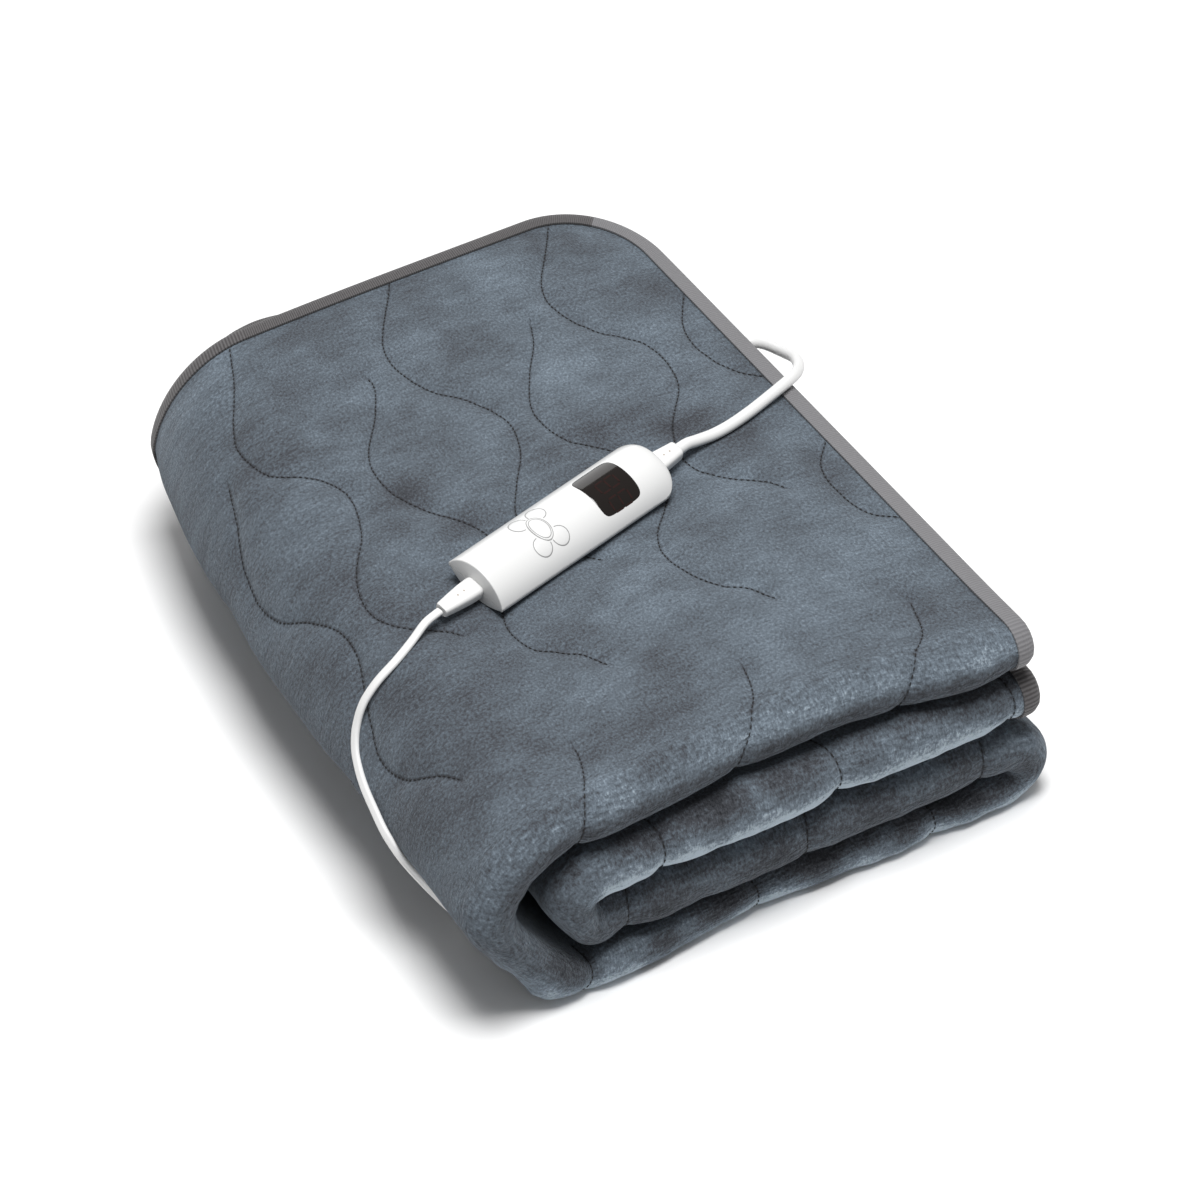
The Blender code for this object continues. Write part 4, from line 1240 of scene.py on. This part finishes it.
COIL_PLACE = Vector((0.0180, 0.3010, 0.0))
COIL_WIDE, COIL_NARROW = 0.0365, 0.0225
COIL_LEVELS = (0.0026, 0.0076)
COIL_TURNS = 2.25
COIL_RISE_TURNS = 0.5
COIL_POINTS = 20
# Sections of the moulded ends: place along, width, height.
MAINS_RELIEF = (
    (0.0, 0.0135, 0.0095), (0.0015, 0.0142, 0.0102), (0.004, 0.0142, 0.0102), (0.010, 0.0136, 0.0098),
    (0.018, 0.0118, 0.0088), (0.0270, 0.0096, 0.0076), (0.0279, 0.0092, 0.0073), (0.0285, 0.0084, 0.0066),
)
BLANKET_RELIEF = (
    (0.0, 0.0140, 0.0100), (0.0015, 0.0147, 0.0107), (0.005, 0.0145, 0.0106), (0.012, 0.0130, 0.0100),
    (0.0190, 0.0116, 0.0097), (0.0199, 0.0112, 0.0094), (0.0205, 0.0100, 0.0086),
)
LEAD_SLEEVE = (
    (0.0, 0.0126, 0.0076), (0.001, 0.0132, 0.0081), (0.004, 0.0134, 0.0086), (0.008, 0.0115, 0.0095),
    (0.0118, 0.0101, 0.0095), (0.0125, 0.0094, 0.0088),
)
SLEEVE_PLACE = Vector((0.1888, 0.1119, 0.0979))
SLEEVE_TURN = math.radians(-14.0)
PLUG_PLACE = Vector((0.0940, 0.2715, 0.0069))
PLUG_BODY = (
    (0.0, 0.0074, 0.0064), (0.0008, 0.0080, 0.0070), (0.0115, 0.0098, 0.0088), (0.0135, 0.0140, 0.0104),
    (0.016, 0.0190, 0.0120), (0.020, 0.0232, 0.0131), (0.026, 0.0254, 0.0136), (0.045, 0.0262, 0.0137),
    (0.0472, 0.0256, 0.0132), (0.0482, 0.0244, 0.0124), (0.0485, 0.0230, 0.0114),
)
RELIEF_GAP = 0.0001
SQUARENESS = 0.55


def coil_route():
    """The coiled part of the mains lead: inwards on the floor, up, and outwards on top of that."""
    turns = 2 * COIL_TURNS + COIL_RISE_TURNS
    points = []
    count = round(turns * COIL_POINTS)
    for k in range(count + 1):
        turn = turns * k / count
        inwards = min(turn / COIL_TURNS, 1.0)
        outwards = max((turn - COIL_TURNS - COIL_RISE_TURNS) / COIL_TURNS, 0.0)
        radius = mix(COIL_WIDE, COIL_NARROW, inwards) + (COIL_WIDE - COIL_NARROW) * outwards
        rise = smooth((turn - COIL_TURNS) / COIL_RISE_TURNS)
        angle = math.tau * turn - math.pi / 2
        points.append((COIL_PLACE.x + radius * math.cos(angle), COIL_PLACE.y + radius * math.sin(angle),
                       mix(COIL_LEVELS[0], COIL_LEVELS[1], rise)))
    return points


def loft(name, sections, matrix, finish, sides=28):
    """A closed body through rounded sections: place along X, width and height."""
    shape = grid(len(sections) - 1, sides)
    for vertex in shape.verts:
        along, width, height = sections[round(vertex.co.x)]
        angle = math.tau * (round(vertex.co.y) % sides + 0.5) / sides
        b = math.copysign(abs(math.cos(angle)) ** SQUARENESS, math.cos(angle)) * width / 2
        z = math.copysign(abs(math.sin(angle)) ** SQUARENESS, math.sin(angle)) * height / 2
        vertex.co = (along, b, z)
    closed(shape)
    made = finished(name, shape, finish, sharp=50)
    made.data.transform(matrix)
    return made


def make_reliefs(finish):
    start = CONTROL_LENGTH / 2 + RELIEF_GAP
    ahead = control_frame() @ Matrix.Translation((start, 0, 0))
    back = control_frame() @ Matrix.Translation((-start, 0, 0)) @ Matrix.Rotation(math.pi, 4, "Z")
    sleeve = Matrix.Translation(SLEEVE_PLACE) @ Matrix.Rotation(SLEEVE_TURN, 4, "Z")
    return (loft("relief_mains", MAINS_RELIEF, back, finish),
            loft("relief_blanket", BLANKET_RELIEF, ahead, finish),
            loft("sleeve_blanket", LEAD_SLEEVE, sleeve, finish))


TIE_ANGLES = (0.6, 3.7)
TIE_WIDTH = 0.0040
TIE_THICK = 0.0006
TIE_SIDES = 36
TIE_SLACK = 0.0008
TIE_FLOOR = 0.00042
TIE_POWER = 5.0
MARK_RADIUS = 0.0006
MARK_FLAT = 0.35
# The end of the control, how far out from it, and how high.
MARK_PLACES = ((-1, 0.0105, 0.00500), (-1, 0.0155, 0.00468), (1, 0.0080, 0.00525), (1, 0.0130, 0.00508))


def make_ties(finish):
    """Two soft bands round the coiled lead, which hold its turns together."""
    inner, outer = COIL_NARROW - MAINS_WIDTH / 2 - TIE_SLACK, COIL_WIDE + MAINS_WIDTH / 2 + TIE_SLACK
    low, high = TIE_FLOOR, COIL_LEVELS[1] + MAINS_HEIGHT / 2 + TIE_SLACK
    corners = ((-1, -1), (1, -1), (1, 1), (-1, 1))
    shape = bmesh.new()
    for turn in TIE_ANGLES:
        strip = grid(TIE_SIDES, 4)
        for vertex in strip.verts:
            angle = math.tau * vertex.co.x / TIE_SIDES
            across, out = corners[round(vertex.co.y) % 4]
            reach = box_radius(outer - inner, high - low, TIE_POWER, angle) + out * TIE_THICK / 2
            radius = (inner + outer) / 2 + reach * math.cos(angle)
            place = Vector((radius, across * TIE_WIDTH / 2, (low + high) / 2 + reach * math.sin(angle)))
            vertex.co = COIL_PLACE + Matrix.Rotation(turn, 3, "Z") @ place
        closed(strip)
        joined(shape, strip)
    return finished("coil_tie", shape, finish, sharp=50)


def make_marks(finish):
    """Small moulding marks on top of the two reliefs of the hand control."""
    shape = bmesh.new()
    for end, along, height in MARK_PLACES:
        place = Matrix.Translation((end * (CONTROL_LENGTH / 2 + along), 0.0, height))
        size = Matrix.Diagonal((1.0, 1.0, MARK_FLAT, 1.0))
        bmesh.ops.create_icosphere(shape, subdivisions=2, radius=MARK_RADIUS, matrix=place @ size)
    return place_in_control(finished("relief_marks", shape, finish))


# Stage --------------------------------------------------------------------------------------------
CAMERA_PLACE = Vector((-1.280, -2.1365, 2.3815))
CAMERA_TURN = math.radians(31.46)
CAMERA_TILT = math.radians(42.905)
CAMERA_SENSOR = 36
CAMERA_LENS = 5500 / 1181 * CAMERA_SENSOR     # from its focal length and the frame's width, in pixels
FLOOR_TONE = (0.93, 0.93, 0.93)
FLOOR_SIZE = 6.0
SKY_STRENGTH = 0.24
# Lamps: name, place, aim, size, power.
LAMPS = (
    ("key", (-0.10, -0.36, 2.68), (0.0, 0.0, 0.05), (1.2, 1.2), 87),
    ("back_panel", (0.94, 2.71, 1.03), (0.0, 0.0, 0.15), (1.5, 2.2), 18),
)


def make_camera():
    level = math.cos(CAMERA_TILT)
    ahead = Vector((math.sin(CAMERA_TURN) * level, math.cos(CAMERA_TURN) * level, -math.sin(CAMERA_TILT)))
    right = Vector((math.cos(CAMERA_TURN), -math.sin(CAMERA_TURN), 0.0))
    above = right.cross(ahead)
    data = bpy.data.cameras.new("camera")
    data.lens = CAMERA_LENS
    data.sensor_width = CAMERA_SENSOR
    data.clip_end = 50
    camera = bpy.data.objects.new("camera", data)
    turn = Matrix((right, above, -ahead)).transposed().to_4x4()
    camera.matrix_world = Matrix.Translation(CAMERA_PLACE) @ turn
    bpy.context.scene.collection.objects.link(camera)
    bpy.context.scene.camera = camera


def area_light(name, place, aim, size, power):
    data = bpy.data.lights.new(name, "AREA")
    data.shape = "RECTANGLE"
    data.size, data.size_y = size
    data.energy = power
    light = bpy.data.objects.new(name, data)
    light.visible_camera = False
    way = (Vector(aim) - Vector(place)).to_track_quat("-Z", "Y").to_matrix().to_4x4()
    light.matrix_world = Matrix.Translation(place) @ way
    bpy.context.scene.collection.objects.link(light)


def make_stage():
    shape = bmesh.new()
    bmesh.ops.create_grid(shape, x_segments=2, y_segments=2, size=FLOOR_SIZE)
    p = Paint("floor_paper", FLOOR_TONE, 0.9)
    place = p.node("TexCoord").outputs["Object"]
    p.set(Normal=p.bump(p.math("MULTIPLY", p.noise(place, 400.0), 0.00005), 1.0, 0.3), Specular_IOR_Level=0.1)
    floor = finished("floor", shape, p.material)
    world = bpy.data.worlds.new("studio")
    world.use_nodes = True
    sky = world.node_tree.nodes["Background"].inputs
    sky["Color"].default_value = (1.0, 1.0, 1.0, 1.0)
    sky["Strength"].default_value = SKY_STRENGTH
    bpy.context.scene.world = world
    bpy.context.scene.view_settings.view_transform = "Standard"
    for lamp in LAMPS:
        area_light(*lamp)


# Everything ---------------------------------------------------------------------------------------
def dressed(piece, nodes):
    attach(piece, BODY)
    if nodes:
        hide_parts(*nodes)
    return piece


make_camera()
make_stage()

PLUSH = plush()
TAPE_WEAVE = tape_weave()
THREAD = thread()
WHITE = plastic("white_shell", (0.70, 0.70, 0.695), 0.24).material
SOFT_WHITE = plastic("soft_keys", (0.69, 0.69, 0.685), 0.38).material
VINYL = plastic("white_vinyl", (0.73, 0.73, 0.725), 0.36, 0.00004).material
SMOKED = plastic("smoked_pane", (0.011, 0.0085, 0.0075), 0.09, 0.000004).material
# Painted shade: the grey of the keys' moulded outlines.
KEY_LINE_SHADE = plastic("key_line_painted_shade", (0.27, 0.27, 0.27), 0.5).material
FIGURE = plastic("figure_red", (0.022, 0.0085, 0.0075), 0.12).material
METAL = plastic("bright_pin", (0.72, 0.70, 0.66), 0.22)
METAL.set(Metallic=1.0)
MARK = plastic("mark", (0.42, 0.36, 0.30), 0.5).material

cloth = dressed(make_blanket(PLUSH), ["blanket"])
edge_tape = dressed(make_binding(TAPE_WEAVE), ["binding"])
stitches = dressed(make_stitches(THREAD), [])

base, cover, window, keys = make_control(WHITE, SMOKED, SOFT_WHITE)
dressed(base, ["control_base"])
dressed(cover, ["control_cover"])
dressed(window, ["control_window"])
for key in keys:
    dressed(key, ["control_keypad"])
dressed(make_key_lines(KEY_LINE_SHADE), [])
dressed(make_digits(FIGURE), [])
relief_mains, relief_blanket, sleeve = make_reliefs(VINYL)
dressed(relief_mains, ["mains_relief"])
dressed(relief_blanket, ["blanket_relief"])
dressed(sleeve, ["lead_sleeve"])
dressed(make_marks(MARK), [])

lead_path = smooth_route(BLANKET_LEAD_ROUTE, ROUTE_STEP)
blanket_lead = swept("lead_to_cloth", lead_path, round_section(BLANKET_LEAD), VINYL)
dressed(blanket_lead, ["blanket_lead"])

mains_route = [tucked(Vector(point)) for point in MAINS_ROUTE]
mains_path = smooth_route(mains_route + coil_route() + list(TAIL_ROUTE), ROUTE_STEP)
mains = swept("lead_to_mains", mains_path, twin_oval(MAINS_WIDTH, MAINS_HEIGHT), VINYL)
dressed(mains, ["mains_lead", "mains_coil", "mains_tail"])
plug = loft("plug_shell", PLUG_BODY, Matrix.Translation(PLUG_PLACE), VINYL, sides=40)
dressed(plug, ["plug_body"])
tie = dressed(make_ties(VINYL), [])
pins = [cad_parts[name] for name in ("plug_pin_1", "plug_pin_2")]
for pin in pins:
    pin.data.materials.clear()
    pin.data.materials.append(METAL.material)
